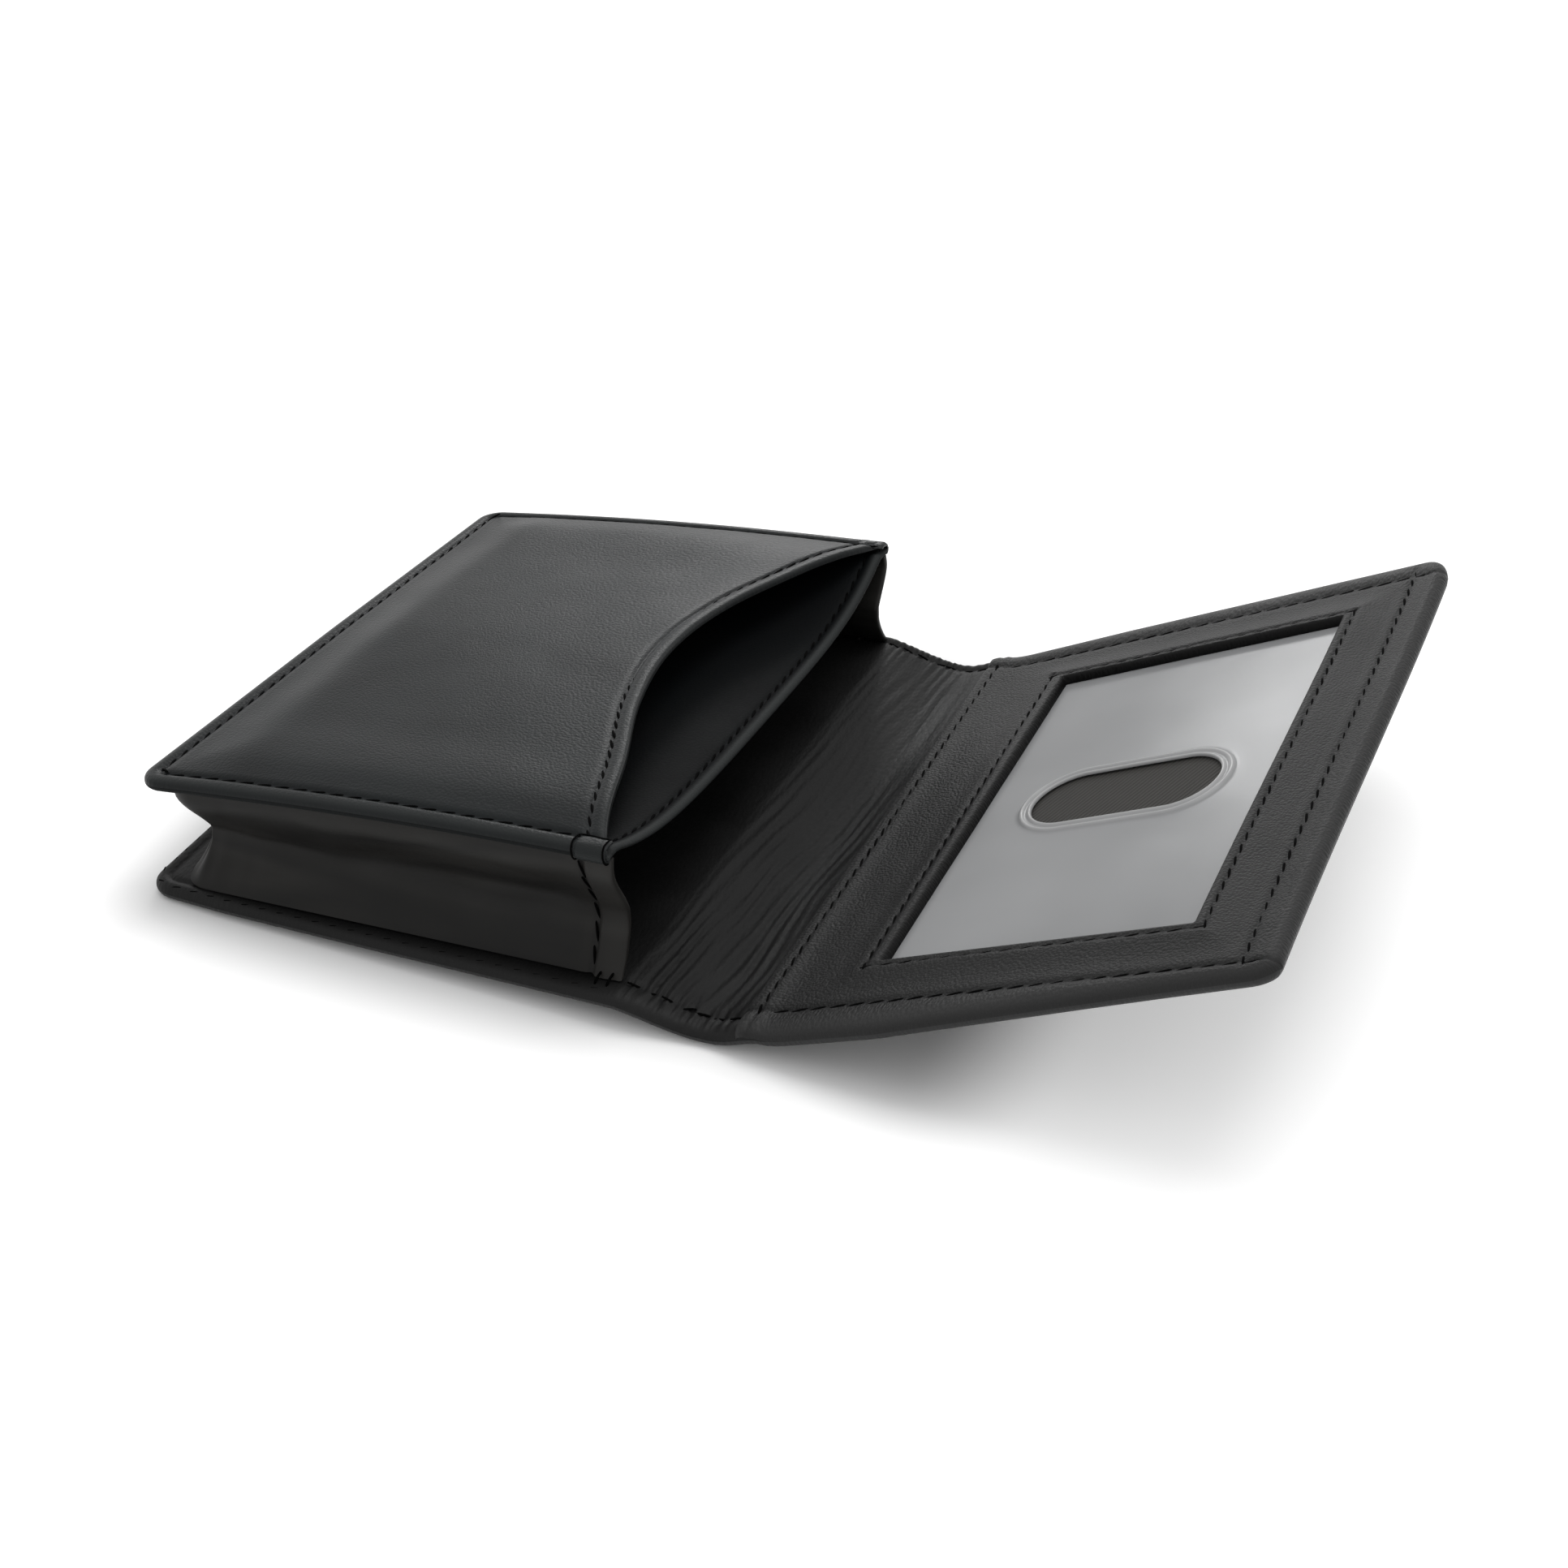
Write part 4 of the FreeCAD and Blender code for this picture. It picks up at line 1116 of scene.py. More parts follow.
def gusset_surface(t, h, outward):
    """Points of the gusset: t along it from the near mouth to the far one, h up it."""
    middle = 0.40
    below = 1 - (np.clip(middle - h, 0, 1) / middle) ** 1.5
    above = smooth(np.clip(1.3 * (1 - h) / (1 - middle) - 0.18, 0, 1))
    fold = FOLD_DEPTH * np.where(h < middle, below, above)
    x0, y0, nx, ny = gusset_path(t)
    at = t * GUSSET_RUN
    to_corner = LENGTH - END_INSET - 2.2
    near_corner = bump(at - to_corner, 9) + bump(at - (GUSSET_RUN - to_corner), 9)
    low = smooth((0.6 - h) / 0.6)
    high = smooth((h - 0.6) / 0.4)
    swollen = np.sin(math.pi * np.clip(h, 0, 1))
    pucker = ripple(at + 4 * h, h * 10, 2.3, 9, 41) * 0.9 + ripple(at, h * 12, 4.5, 8, 42)
    tuck = near_corner * (1.5 * low + 0.6 * high) * pucker * swollen**0.4
    ends = bump(at, 5) + bump(GUSSET_RUN - at, 5)
    gather = ends * (0.5 * low + 0.5 * high) * ripple(at + 3 * h, h * 9, 1.8, 6, 43)
    sway = 1.2 * ripple(at, h * 15, 18, 10, 44) + 0.30 * ripple(at, h * 15, 6, 5, 45)
    sway = sway + 0.16 * creases(at + 6 * h, h * 15, 30, 4, 47)
    depth = 0.35 * (0.5 + 0.8 * ripple(at, h, 14, 3, 46))
    crease = depth * bump(h - 0.47 - 0.03 * np.sin(at / 9), 0.035)
    inset = fold + (sway + crease) * swollen**0.5 + 0.7 * tuck + 0.5 * gather
    x, y = x0 + nx * (inset - outward), y0 + ny * (inset - outward)
    bottom = BACK_STACK + 0.02
    closed, open_end = DEPTH_CLOSED - FRONT_STACK, DEPTH_MOUTH - FRONT_STACK
    top = closed + (open_end - closed) * np.clip(x, 0, LENGTH) / LENGTH
    top = top + lean(x, y) + bow(x, y)
    z = bottom + (top - bottom + 0.03) * h
    return placed(POCKET, TILT, x, y, z)


def gusset():
    """The strip round three sides, folded inwards along its middle, with a hem at each end."""

    def from_mouth(t):
        return np.minimum(t, 1 - t) * GUSSET_RUN

    def face(t, h):
        d = from_mouth(t)
        thick = 0.5 * smooth((4.6 - d) / 0.7) * roll(d + 0.02, 0.5)
        return gusset_surface(t, h, thick - 0.25 * bump(d - HEM_SEAM, 0.4))

    def back(t, h):
        return gusset_surface(t, h, -GUSSET_LEATHER * roll(from_mouth(t) + 0.02, 0.4))

    def rubbed(t, h):
        worn = 0.35 * bump(from_mouth(t) - 1.5, 2.2) + 0.25 * bump(h - 0.9, 0.1)
        return np.clip(worn + 0.4 * creases(t * GUSSET_RUN, h * 17, 30, 5, 48), 0, 1)

    # Painted shade: dark lines painted along the creases and along the hem's seam.
    def inked(t, h):
        d = from_mouth(t)
        folded = 0.6 * creases(t * GUSSET_RUN, h * 17, 26, 5, 49) * smooth((d - 5) / 3)
        return np.clip(folded + 0.5 * bump(d - HEM_SEAM, 0.5), 0, 1)

    ends = (0, 0.05, 0.2, 0.45, 0.8, 1.6, 2.6, 3.6, 4.0, 4.3, 4.6, 4.9, 5.2, 5.6)
    along = lines(GUSSET_RUN, ends, ends, 0.75) / GUSSET_RUN
    up = np.linspace(0, 1, 27)
    return sheet_of("gusset_leather", along, up, back, face, rubbed=rubbed, inked=inked)


# ---------------------------------------------------------------- the flap

# The window's opening, from the crease and from the middle line, and the ID panel's mouth.
WINDOW = (14.5, 61.5, -41.0, 41.0)
ID_START = -3.2
# The flap's seams: inside its sides and its end, inside the ID panel's mouth, and the rows
# to the left, to the right and on the two sides of the window.
SIDE_ROW, END_ROW, MOUTH_ROW = 3.0, 5.0, 2.0
LEFT_ROW, RIGHT_ROW, WINDOW_ROW = WINDOW[0] - 2.6, WINDOW[1] + 2.0, 42.5


def on_flap(u, y, w):
    """Points over the flap's inner face: u from the crease, w above it."""
    return spread(S_CREASE + np.asarray(u, float), y, w)


def rim_rows(u, y, width):
    """1 along the seams inside the flap's rim, fading over a width."""
    side = bump(HALF - np.abs(y) - SIDE_ROW, width)
    end = bump(LENGTH - u - END_ROW, width) * (np.abs(y) < HALF - 1.2)
    return np.maximum(side, end)


def window_rows(u, y, width):
    """1 along the seams round the window, fading over a width."""
    left = bump(u - LEFT_ROW, width) * (np.abs(y) < 43.6)
    right = bump(u - RIGHT_ROW, width) * (np.abs(y) < 43.2)
    sides = bump(np.abs(y) - WINDOW_ROW, width) * (u > WINDOW[0] - 3) * (u < WINDOW[1] + 2.4)
    return np.maximum(np.maximum(left, right), sides)


def id_panel():
    """The leather frame round the window. It is sewn on three sides and open at the fold."""
    u0, u1, y0, y1 = WINDOW

    def shape(u, y):
        x2, y2 = rounded(u, y, LENGTH, CORNER)
        x2, y2 = np.where(u < 20, u, x2), np.where(u < 20, y, y2)
        rim = np.minimum(LENGTH - u, HALF - np.abs(y))
        out_u = np.maximum(np.maximum(u0 - u, u - u1), 0)
        out_y = np.maximum(np.maximum(y0 - y, y - y1), 0)
        return x2, y2, rim, np.maximum(out_u, out_y), u - ID_START

    def top(u, y, rim, window, start):
        t = stack(S_CREASE + u)
        height = -(t / 2) * (1 - roll(rim, t / 2))
        height = height + 0.12 * bump(rim - 1.6, 0.9)
        faint = 0.6 * bump(LENGTH - u - 7.0, 0.5) * (np.abs(y) < HALF - 6)
        height = height - 0.26 * np.maximum(rim_rows(u, y, 0.5), faint)
        stand = 0.6 * (1 - smooth((window - 1.0) / 6.0))
        height = height + stand - 0.25 * window_rows(u, y, 0.45)
        height = height - (0.9 + stand) * (1 - roll(window + 0.02, 0.8))
        lip = 0.5 * (1 - smooth((start - 1) / 4.0))
        height = height + lip - (lip + 0.05) * (1 - roll(start, 0.4))
        height = height - 0.18 * bump(start - MOUTH_ROW, 0.45)
        soft = 0.10 * ripple(u, y, 12, 12, 51) + 0.05 * ripple(u, y, 4, 4, 52)
        return height + soft * smooth(rim / 3) * smooth(window / 2) * smooth(start / 2)

    def face(u, y):
        x2, y2, *inside = shape(u, y)
        return on_flap(x2, y2, top(u, y, *inside))

    def back(u, y):
        x2, y2, *inside = shape(u, y)
        t = stack(S_CREASE + u)
        low = -t / 2 + 0.02 + (t / 2 - 0.92) * roll(inside[0], t / 2)
        low = np.where(u < 2, np.interp(u, [ID_START, 0, 2], [-0.15, -0.2, -0.88]), low)
        return on_flap(x2, y2, np.minimum(low, top(u, y, *inside) - 0.02))

    def rubbed(u, y):
        _, _, rim, window, start = shape(u, y)
        worn = 0.9 * bump(rim - 0.8, 0.9) + 0.5 * bump(window - 1.1, 0.5)
        return np.clip(worn + 0.5 * bump(start - 0.4, 0.4), 0, 1)

    # Painted shade: the window's inner wall is painted near black, and dark lines are painted
    # along the seams.
    def inked(u, y):
        _, _, _, window, start = shape(u, y)
        edge = np.where(window < 0.5, 0.95, 0.0) + 0.75 * bump(window - 0.5, 0.4)
        rows = np.maximum(rim_rows(u, y, 0.35), window_rows(u, y, 0.35))
        rows = np.maximum(rows, 0.6 * bump(start - MOUTH_ROW, 0.3))
        return np.clip(edge + 0.45 * rows, 0, 1)

    outer = ROLLED + (2.5, 2.75, 3.0, 3.25, 3.6, 4.3, 4.7, 5.0, 5.3, 5.8)
    by_window = np.array((0, 0.05, 0.2, 0.5, 0.9, 1.4, 1.7, 2.0, 2.3, 2.6, 2.9, 3.4, 4.2))
    by_mouth = np.array((0, 0.05, 0.15, 0.3, 0.5, 0.9, 1.4, 1.75, 2.0, 2.25, 2.8, 3.5))
    along = np.concatenate([
        ID_START + by_mouth, u0 - by_window, u1 + by_window,
        LENGTH - np.array(outer + (6.8, 7.4, 8.0)),
        np.arange(1, 10.2, 1.0), np.arange(u0, u1 + 0.1, 1.566), [67.0],
    ])
    across = np.concatenate([
        HALF - np.array(outer), y1 + by_window, np.arange(0, y1 - 0.5, 1.58), [y1, 47.0]
    ])
    across = np.concatenate([across, -across])
    along, across = np.unique(np.round(along, 3)), np.unique(np.round(across, 3))
    return sheet_of(
        "id_panel_leather", along, across, face, back, hole=WINDOW, rubbed=rubbed, inked=inked
    )


# The thumb slot: its ends' radius, half its straight length, and the double bead moulded
# round it, as distance outside the slot's edge and height above the film.
SLOT_RADIUS, SLOT_STRAIGHT = 7.0, 8.0
BEAD = (
    (0.0, 0.0), (0.02, 0.20), (0.12, 0.38), (0.3, 0.46), (0.5, 0.40), (0.72, 0.2),
    (0.95, 0.12), (1.15, 0.18), (1.35, 0.36), (1.58, 0.44), (1.82, 0.34), (2.05, 0.12),
    (2.3, 0.02), (2.8, 0.0),
)
# Half the film's length and width, the length's as far past each end of the window.
FILM_HALF = np.array([(WINDOW[1] - WINDOW[0]) / 2 + 5, 46.0])


def film_sheet():
    """The clear film: rings of points from the slot's bead out to the film's edge."""
    steps = 72
    a = np.arange(steps) * 2 * math.pi / steps
    rings = []
    for out, rise in BEAD:
        x, y = (SLOT_RADIUS + out) * np.cos(a), (SLOT_RADIUS + out) * np.sin(a)
        x = x + SLOT_STRAIGHT * np.sign(np.round(x, 6))
        rings.append(np.stack([x, y, np.full(steps, rise)], axis=-1))
    last = rings[-1]
    reach = FILM_HALF / np.maximum(np.abs(last[:, :2]), 1e-9)
    border = last * [1, 1, 0] * reach.min(axis=1)[:, None]
    for corner in ((-1, -1), (-1, 1), (1, -1), (1, 1)):
        end = FILM_HALF * corner
        border[np.argmin(np.hypot(*(border[:, :2] - end).T)), :2] = end
    rings += [last + (border - last) * share for share in (0.15, 0.4, 0.7, 1.0)]
    faces = []
    for k in range(0, (len(rings) - 1) * steps, steps):
        for q in range(steps):
            r = (q + 1) % steps
            faces.append((k + q, k + steps + q, k + steps + r, k + r))
    points = np.concatenate(rings) + [(WINDOW[0] + WINDOW[1]) / 2, 0, 0]
    u, y, rise = points.T
    world = on_flap(u, y, -0.9 + rise + 0.05 * ripple(u, y, 14, 14, 61))
    piece = mesh_piece("window_film", world, faces, uv=points[:, :2])
    # The bead's ridges are marked for a painted highlight.
    mark(piece.data, "rubbed", np.clip(rise * 1.6, 0, 1))
    thicken(piece, 0.25 * MM)
    return closed_outwards(finish_mesh(piece, 60))


def flat_layer(name, start, length, width, step, top, bottom):
    """A flat layer in the flap, between two heights over its inner face."""
    along = lines(length, (0,), (0,), step) + start
    across = lines(width, (0,), (0,), step) - width / 2
    return sheet_of(
        name, along, across, lambda u, y: on_flap(u, y, top), lambda u, y: on_flap(u, y, bottom)
    )


def twill_sheet():
    """The twill glued to the flap's board."""
    return flat_layer("flap_twill", 1.2, 70.0, 98.0, 5, -1.24, -1.45)


def flap_board():
    """The board that stiffens the flap."""
    return flat_layer("flap_fibre_board", 1.5, 69.0, 97.0, 6, -1.5, -1.96)


# ---------------------------------------------------------------- seams


def rim_loop(inset, end=LENGTH, radius=2.3):
    """Places along a three-sided seam, from the near mouth round the closed end to the far
    mouth."""
    half = HALF - inset
    a = np.linspace(0, math.pi / 2, 12)
    x = np.concatenate([
        np.linspace(end, inset + radius, 160), inset + radius - radius * np.sin(a)
    ])
    y = np.concatenate([np.full(160, half), half - radius + radius * np.cos(a)])
    closed = np.linspace(-half + radius, half - radius, 220)
    x = np.concatenate([x, np.full(220, inset), x[::-1]])
    return x, np.concatenate([-y, closed, y[::-1]])


def up_of(angle):
    """The unit vector out of a face raised by an angle."""
    return np.array([-math.sin(angle), 0, math.cos(angle)])


def pocket_top_seams():
    """Stitches on the pocket's rim, its front mouth and the divider's mouth."""
    out = up_of(RIM_TILT)
    x, y = rim_loop(RIM_SEAM)
    height = front_height(x, y, np.minimum(x, HALF - np.abs(y)), np.full_like(x, 20.0))
    rim = seam("rim_stitches", on_rim(x, y, height + bow(x, y) + 0.08), out)

    y = np.linspace(-HALF + 1.5, HALF - 1.5, 300)
    change, slope = mouth_slope(y)
    x, y = mouth(y) - MOUTH_SEAM / slope, y + MOUTH_SEAM * change / slope
    keep = np.abs(y) < HALF - 1.6
    x, y = x[keep], y[keep]
    height = FRONT_STACK - 0.3 + crown(x, y, np.minimum(x, HALF - np.abs(y)))
    front = seam("front_mouth_stitches", on_rim(x, y, height + bow(x, y) + 0.08), out)

    y = np.linspace(-HALF + 3.5, HALF - 3.5, 300)
    x = np.full_like(y, LENGTH - MOUTH_SEAM)

    def out_of_divider(point):
        before, after = divider_sag(LENGTH - MOUTH_SEAM, point[1] + np.array([-1, 1]))
        return out + [0, (after - before) / 2, 0]

    path = on_rim(x, y, 0.60 - divider_hang(x, y) + bow(x, y))
    return rim, front, seam("divider_mouth_stitches", path, out_of_divider)


def back_rim_seam():
    """The lower seam, beside the gusset on the back panel."""
    path = spread(*rim_loop(1.0, end=LENGTH - 1, radius=3.2), -0.02)
    return seam("back_rim_stitches", path, up_of(TILT), thick=0.4)


def spine_edge_seam(name, start, end):
    """A stretch of the seam that runs on along the spine's two edges."""
    rows = []
    for side in (-1, 1):
        s = np.linspace(start, end, 60)
        y = np.full_like(s, side * (HALF - 2.3))
        rows.append(seam("edge_row", spread(s, y, -0.26 + lining_relief(s, y) + 0.06), up_of(0.1)))
    return joined(rows, name)


def flap_row(name, start, end, w, count):
    """A straight row of stitches on the flap, w above its inner face."""
    u, y = (np.linspace(a, b, count) for a, b in zip(start, end))
    return seam(name, on_flap(u, y, w), up_of(RISE))


def flap_seams():
    """Stitches round the flap's rim, round the window and along the ID panel's mouth."""
    side, end, edge, mouth_edge = HALF - SIDE_ROW, LENGTH - END_ROW, HALF - 1.6, HALF - 2.2
    rim = [
        flap_row("flap_row", (0.4, y), (LENGTH - 2.2, y), -0.22, 200) for y in (-side, side)
    ]
    rim.append(flap_row("flap_row", (end, -edge), (end, edge), -0.22, 200))
    left, right, reach = LEFT_ROW, RIGHT_ROW, WINDOW_ROW
    window = [
        flap_row("window_row", start, finish, 0.33, 120)
        for start, finish in (
            ((left - 1.2, -reach), (right + 0.6, -reach)),
            ((right, -reach - 0.8), (right, reach + 0.8)),
            ((right + 0.6, reach), (left - 1.2, reach)),
            ((left, reach + 0.8), (left, -reach - 1.5)),
        )
    ]
    u = ID_START + MOUTH_ROW
    mouth_row = flap_row("id_mouth_stitches", (u, -mouth_edge), (u, mouth_edge), 0.26, 240)
    return joined(rim, "flap_seam_stitches"), joined(window, "window_stitches"), mouth_row


def hem_stitches():
    """The upright seams beside the gusset's two hems."""
    rows = []
    h = np.linspace(0.05, 0.95, 60)
    for side, share in ((-1, HEM_SEAM / GUSSET_RUN), (1, 1 - HEM_SEAM / GUSSET_RUN)):
        out = np.array([0, side, 0])
        path = gusset_surface(np.full_like(h, share), h, 0.0) + out * 0.02
        rows.append(seam("hem_row", path, out, pitch=3.2, thick=0.37))
    return joined(rows, "gusset_hem_stitches")


# ---------------------------------------------------------------- corner details

# The tabs' two ends along the pocket.
TAB = (71.2, 76.0)


def over_rim(proud, start, count, panel):
    """A section over the pocket's rim: distances inside it and heights. It stands proud of
    the rim, starts at an angle below it, and ends at a few places on the panel."""
    centre = FRONT_STACK / 2
    a = np.linspace(start * math.pi, 0.5 * math.pi, count)
    inner_d, inner_z = np.array(panel, float).T
    d = np.concatenate([centre - (centre + proud) * np.cos(a), inner_d])
    z = np.concatenate([centre + (centre + proud) * np.sin(a), FRONT_STACK + proud + inner_z])
    return d, z


def rim_tab(side):
    """A short wrap of leather over the rim at one corner of the mouth."""
    panel = ((1.9, 0.04), (2.6, -0.04), (3.0, -0.28))
    section = over_rim(0.38 if side < 0 else 0.1, -0.62, 16, panel)

    def surface(x, k, deeper):
        d, z = (part[np.rint(k).astype(int)] for part in section)
        rise = roll(np.minimum(x - TAB[0], TAB[1] - x) + 0.03, 0.6)
        inwards = np.stack([FRONT_STACK / 2 - d, FRONT_STACK / 2 - z])
        inwards = inwards / np.hypot(*inwards) * ((1 - rise) * 0.38 + deeper)
        d, z = d + inwards[0], z + inwards[1]
        y = side * (HALF - d)
        return on_rim(x, y, z + 0.06 * ripple(x, d * 3, 1.2, 1.2, 71) + bow(x, y))

    along, places = np.linspace(*TAB, 13), np.arange(len(section[0]), dtype=float)
    piece = sheet_of(
        "rim_tab", along, places, lambda x, k: surface(x, k, 0), lambda x, k: surface(x, k, 0.32),
        rubbed=lambda x, k: np.full(len(x), 0.5),
    )
    return closed_outwards(piece)


def corner_tacks():
    """Thread loops that tie each tab and each foot of the gusset."""
    upper, lower = [], []
    for side in (-1, 1):
        proud = 0.4 if side < 0 else -0.17
        d, z = over_rim(proud, -0.6, 14, ((1.9, 0.0), (2.7, -0.12), (3.1, -0.5)))
        for x in (71.0, 75.7):
            x = x + 0.12 * np.sin(np.linspace(0, 5, len(d)))
            y = side * (HALF - d)
            upper.append(on_rim(x, y, z + bow(x, y)))
        a = np.linspace(0, 1, 8)
        x, y = 71.0 + 4.7 * a, side * (HALF - RIM_SEAM - 0.1 * np.sin(a * 6))
        upper.append(on_rim(x, y, FRONT_STACK + proud - 0.05 + bow(x, y)))
        for x, reach in ((72.8, 2.0), (74.6, 2.3)):
            a = np.linspace(0, 1, 10)
            z = -0.1 + 0.75 * np.sin(math.pi * np.clip(a * 1.1, 0, 1)) ** 0.6
            lower.append(spread(np.full_like(a, x), side * (HALF - 1.2 - reach * a), z))
    return (
        thread_tube("rim_tab_threads", upper, 0.14),
        thread_tube("gusset_foot_threads", lower, 0.19),
    )


# ---------------------------------------------------------------- points at the joints

def metres(point):
    """A point in millimetres as a tuple in metres."""
    return tuple(point * MM)


BACK_TO_FRONT = (
    metres(placed(POCKET, TILT, 0, 0, BACK_STACK)),
    metres(placed(POCKET, TILT, 0, 0, DEPTH_CLOSED - FRONT_STACK)),
)
AT_FOLD = (metres(spread(S_FOLD - 1.5, 0, 0)), metres(spread(S_FOLD + 6, 0, 0)))
AT_CREASE = (metres(spread(S_CREASE - 6, 0, 0)), metres(spread(S_CREASE + 1.5, 0, 0)))


class CaseSizes(bpy.types.PropertyGroup):
    """Sizes that a user would change."""

    lean_closed: bpy.props.FloatProperty(
        name="Lean at the closed end",
        description="How far the pocket's near rim is tipped up there, and its far rim down",
        default=2.9 * MM, unit="LENGTH",
    )
    lean_mouth: bpy.props.FloatProperty(
        name="Lean at the mouth",
        description="How far the pocket's near rim is tipped up there, and its far rim down",
        default=1.95 * MM, unit="LENGTH",
    )
    stitch: bpy.props.FloatProperty(
        name="Stitch", description="Distance from one stitch to the next",
        default=3.0 * MM, min=1.0 * MM, unit="LENGTH",
    )


class CaseLook(bpy.types.PropertyGroup):
    """Colours and light that a user would change."""

    leather: bpy.props.FloatVectorProperty(
        name="Leather", description="Colour of the front panel where the hide is palest",
        size=4, default=linear("#171a1b"), subtype="COLOR", min=0, max=1,
    )
    thread: bpy.props.FloatVectorProperty(
        name="Thread", description="Colour of the thread on its ridges",
        size=4, default=linear("#050505"), subtype="COLOR", min=0, max=1,
    )
    twill: bpy.props.FloatVectorProperty(
        name="Twill", description="Colour of the ribs of the twill behind the window",
        size=4, default=linear("#2c2a27"), subtype="COLOR", min=0, max=1,
    )
    ground: bpy.props.FloatVectorProperty(
        name="Ground", description="Colour of the floor and the backdrop", size=4,
        default=(1.0, 1.0, 1.0, 1.0), subtype="COLOR", min=0, max=1,
    )
    key_power: bpy.props.FloatProperty(
        name="Key light", description="Power of the large soft light", default=2.6, unit="POWER"
    )


class CASE_OT_cover(bpy.types.Operator):
    """Outer leather, in two halves that meet under the spine"""

    bl_idname = "card_case.cover"
    bl_label = "Outer cover"

    def execute(self, context):
        first = case_cover("cover_pocket_side", 0.0, S_TROUGH)
        dress(first, cover_leather, "cover_leather", "back_cover", "spine_cover")
        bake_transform(first)
        second = case_cover("cover_flap_side", S_TROUGH, S_END)
        dress(second, cover_leather, "cover_leather", "flap_cover")
        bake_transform(second)
        return {"FINISHED"}


class CASE_OT_lining(bpy.types.Operator):
    """Soft lining leather inside the pocket and over the spine, with its edge seams"""

    bl_idname = "card_case.lining"
    bl_label = "Spine and pocket lining"

    def execute(self, context):
        first = lining_piece("lining_pocket_side", 0.0, S_TROUGH)
        dress(first, lining_leather, "spine_leather", "back_lining", "spine_lining")
        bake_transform(first)
        end, drop = S_CREASE + 5.0, S_CREASE - 1.0
        second = lining_piece("lining_flap_side", S_TROUGH, end, drop_from=drop)
        dress(second, lining_leather, "spine_leather")
        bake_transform(second)
        row = spine_edge_seam("spine_edge_stitches_pocket_side", S_FOLD + 0.5, S_TROUGH)
        stitched(row, "spine_edge_threads")
        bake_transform(row)
        row = stitched(spine_edge_seam("spine_edge_stitches_flap_side", S_TROUGH, S_CREASE + 0.2))
        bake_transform(row)
        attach(stitched(back_rim_seam()), "pocket_back")
        return {"FINISHED"}


class CASE_OT_gusset(bpy.types.Operator):
    """Folded strip round three sides of the pocket, and its hems"""

    bl_idname = "card_case.gusset"
    bl_label = "Gusset"

    def execute(self, context):
        piece = dress(gusset(), gusset_leather, "gusset_leather", "gusset", "gusset_hems")
        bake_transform(piece)
        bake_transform(stitched(hem_stitches()))
        return {"FINISHED"}


class CASE_OT_divider(bpy.types.Operator):
    """Panel behind the front one, and the cloth under both"""

    bl_idname = "card_case.divider"
    bl_label = "Divider and linings"

    def execute(self, context):
        on_pocket_front(dress(divider(), divider_leather, "panel_leather", "divider_panel"))
        front = inner_cloth("front_lining_cloth", under_front, 2.5, LENGTH - 4.5, (1.03, 0.86))
        lower = inner_cloth("divider_lining_cloth", under_divider, 8.0, LENGTH - 4, (-0.08, -0.28))
        for cloth, node, flat, panel in (
            (front, "front_lining", (0.103, 0.072), "front_panel_leather"),
            (lower, "divider_lining", (0.092, 0.064), "divider_leather"),
        ):
            on_pocket_front(dress(cloth, lining_cloth, "lining_cloth", node))
            min(flat_area(cloth), flat[0] * flat[1])
        return {"FINISHED"}


class CASE_OT_front(bpy.types.Operator):
    """Front panel of the pocket, and the seams on its rim and at both mouths"""

    bl_idname = "card_case.front"
    bl_label = "Front panel"

    def execute(self, context):
        on_pocket_front(dress(front_panel(), panel_leather, "panel_leather", "front_panel"))
        nodes = "front_seam_thread", "front_mouth_thread", "divider_mouth_thread"
        for row, node in zip(pocket_top_seams(), nodes):
            on_pocket_front(stitched(row, node))
        return {"FINISHED"}


class CASE_OT_corners(bpy.types.Operator):
    """Tabs and thread tacks at the pocket's corners"""

    bl_idname = "card_case.corners"
    bl_label = "Corner tabs and tacks"

    def execute(self, context):
        tabs = joined([rim_tab(-1), rim_tab(1)], "rim_tabs")
        on_pocket_front(dress(tabs, panel_leather, "panel_leather"))
        upper, lower = corner_tacks()
        on_pocket_front(stitched(upper, "upper_bar_tacks"))
        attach(stitched(lower, "lower_bar_tacks"), "pocket_back")
        return {"FINISHED"}


class CASE_OT_window(bpy.types.Operator):
    """Clear film with its thumb slot, and the twill behind it"""

    bl_idname = "card_case.window"
    bl_label = "Window and twill"

    def execute(self, context):
        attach(dress(film_sheet(), window_film, "clear_film", "window_sheet"), "flap")
        cloth = dress(twill_sheet(), twill_cloth, "twill", "flap_lining")
        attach(cloth, "flap")
        return {"FINISHED"}


class CASE_OT_id_panel(bpy.types.Operator):
    """Leather frame round the window, with its seams"""

    bl_idname = "card_case.id_panel"
    bl_label = "ID panel"

    def execute(self, context):
        piece = dress(id_panel(), window_leather, "panel_leather", "id_panel")
        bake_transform(piece)
        rim, window, mouth_row = flap_seams()
        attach(stitched(rim, "flap_seam_thread"), "flap")
        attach(stitched(window, "window_thread"), "flap")
        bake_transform(stitched(mouth_row, "id_mouth_thread"))
        return {"FINISHED"}


class CASE_OT_boards(bpy.types.Operator):
    """Fibre boards that stiffen the back and the flap"""

    bl_idname = "card_case.boards"
    bl_label = "Boards"

    def execute(self, context):
        coat(frame["nodes"]["back_board"].data, fibre_board)
        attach(dress(flap_board(), fibre_board, "board", "flap_board"), "flap")
        return {"FINISHED"}


# ---------------------------------------------------------------- the studio

# The sky's brightness on the case. Where the sky is seen it is 1.
SKY = 0.78
# The paper's glow is left out round the case, which paints a shadow there: half the size of that
# box round the case in metres and its middle in x, how far outside the box the glow grows, and its
# strength.
PAINTED_SHADOW_BOX, PAINTED_SHADOW_MIDDLE = (0.057, 0.051, 0.0), -0.024
GLOW_REACH, GLOW = 0.022, 0.34


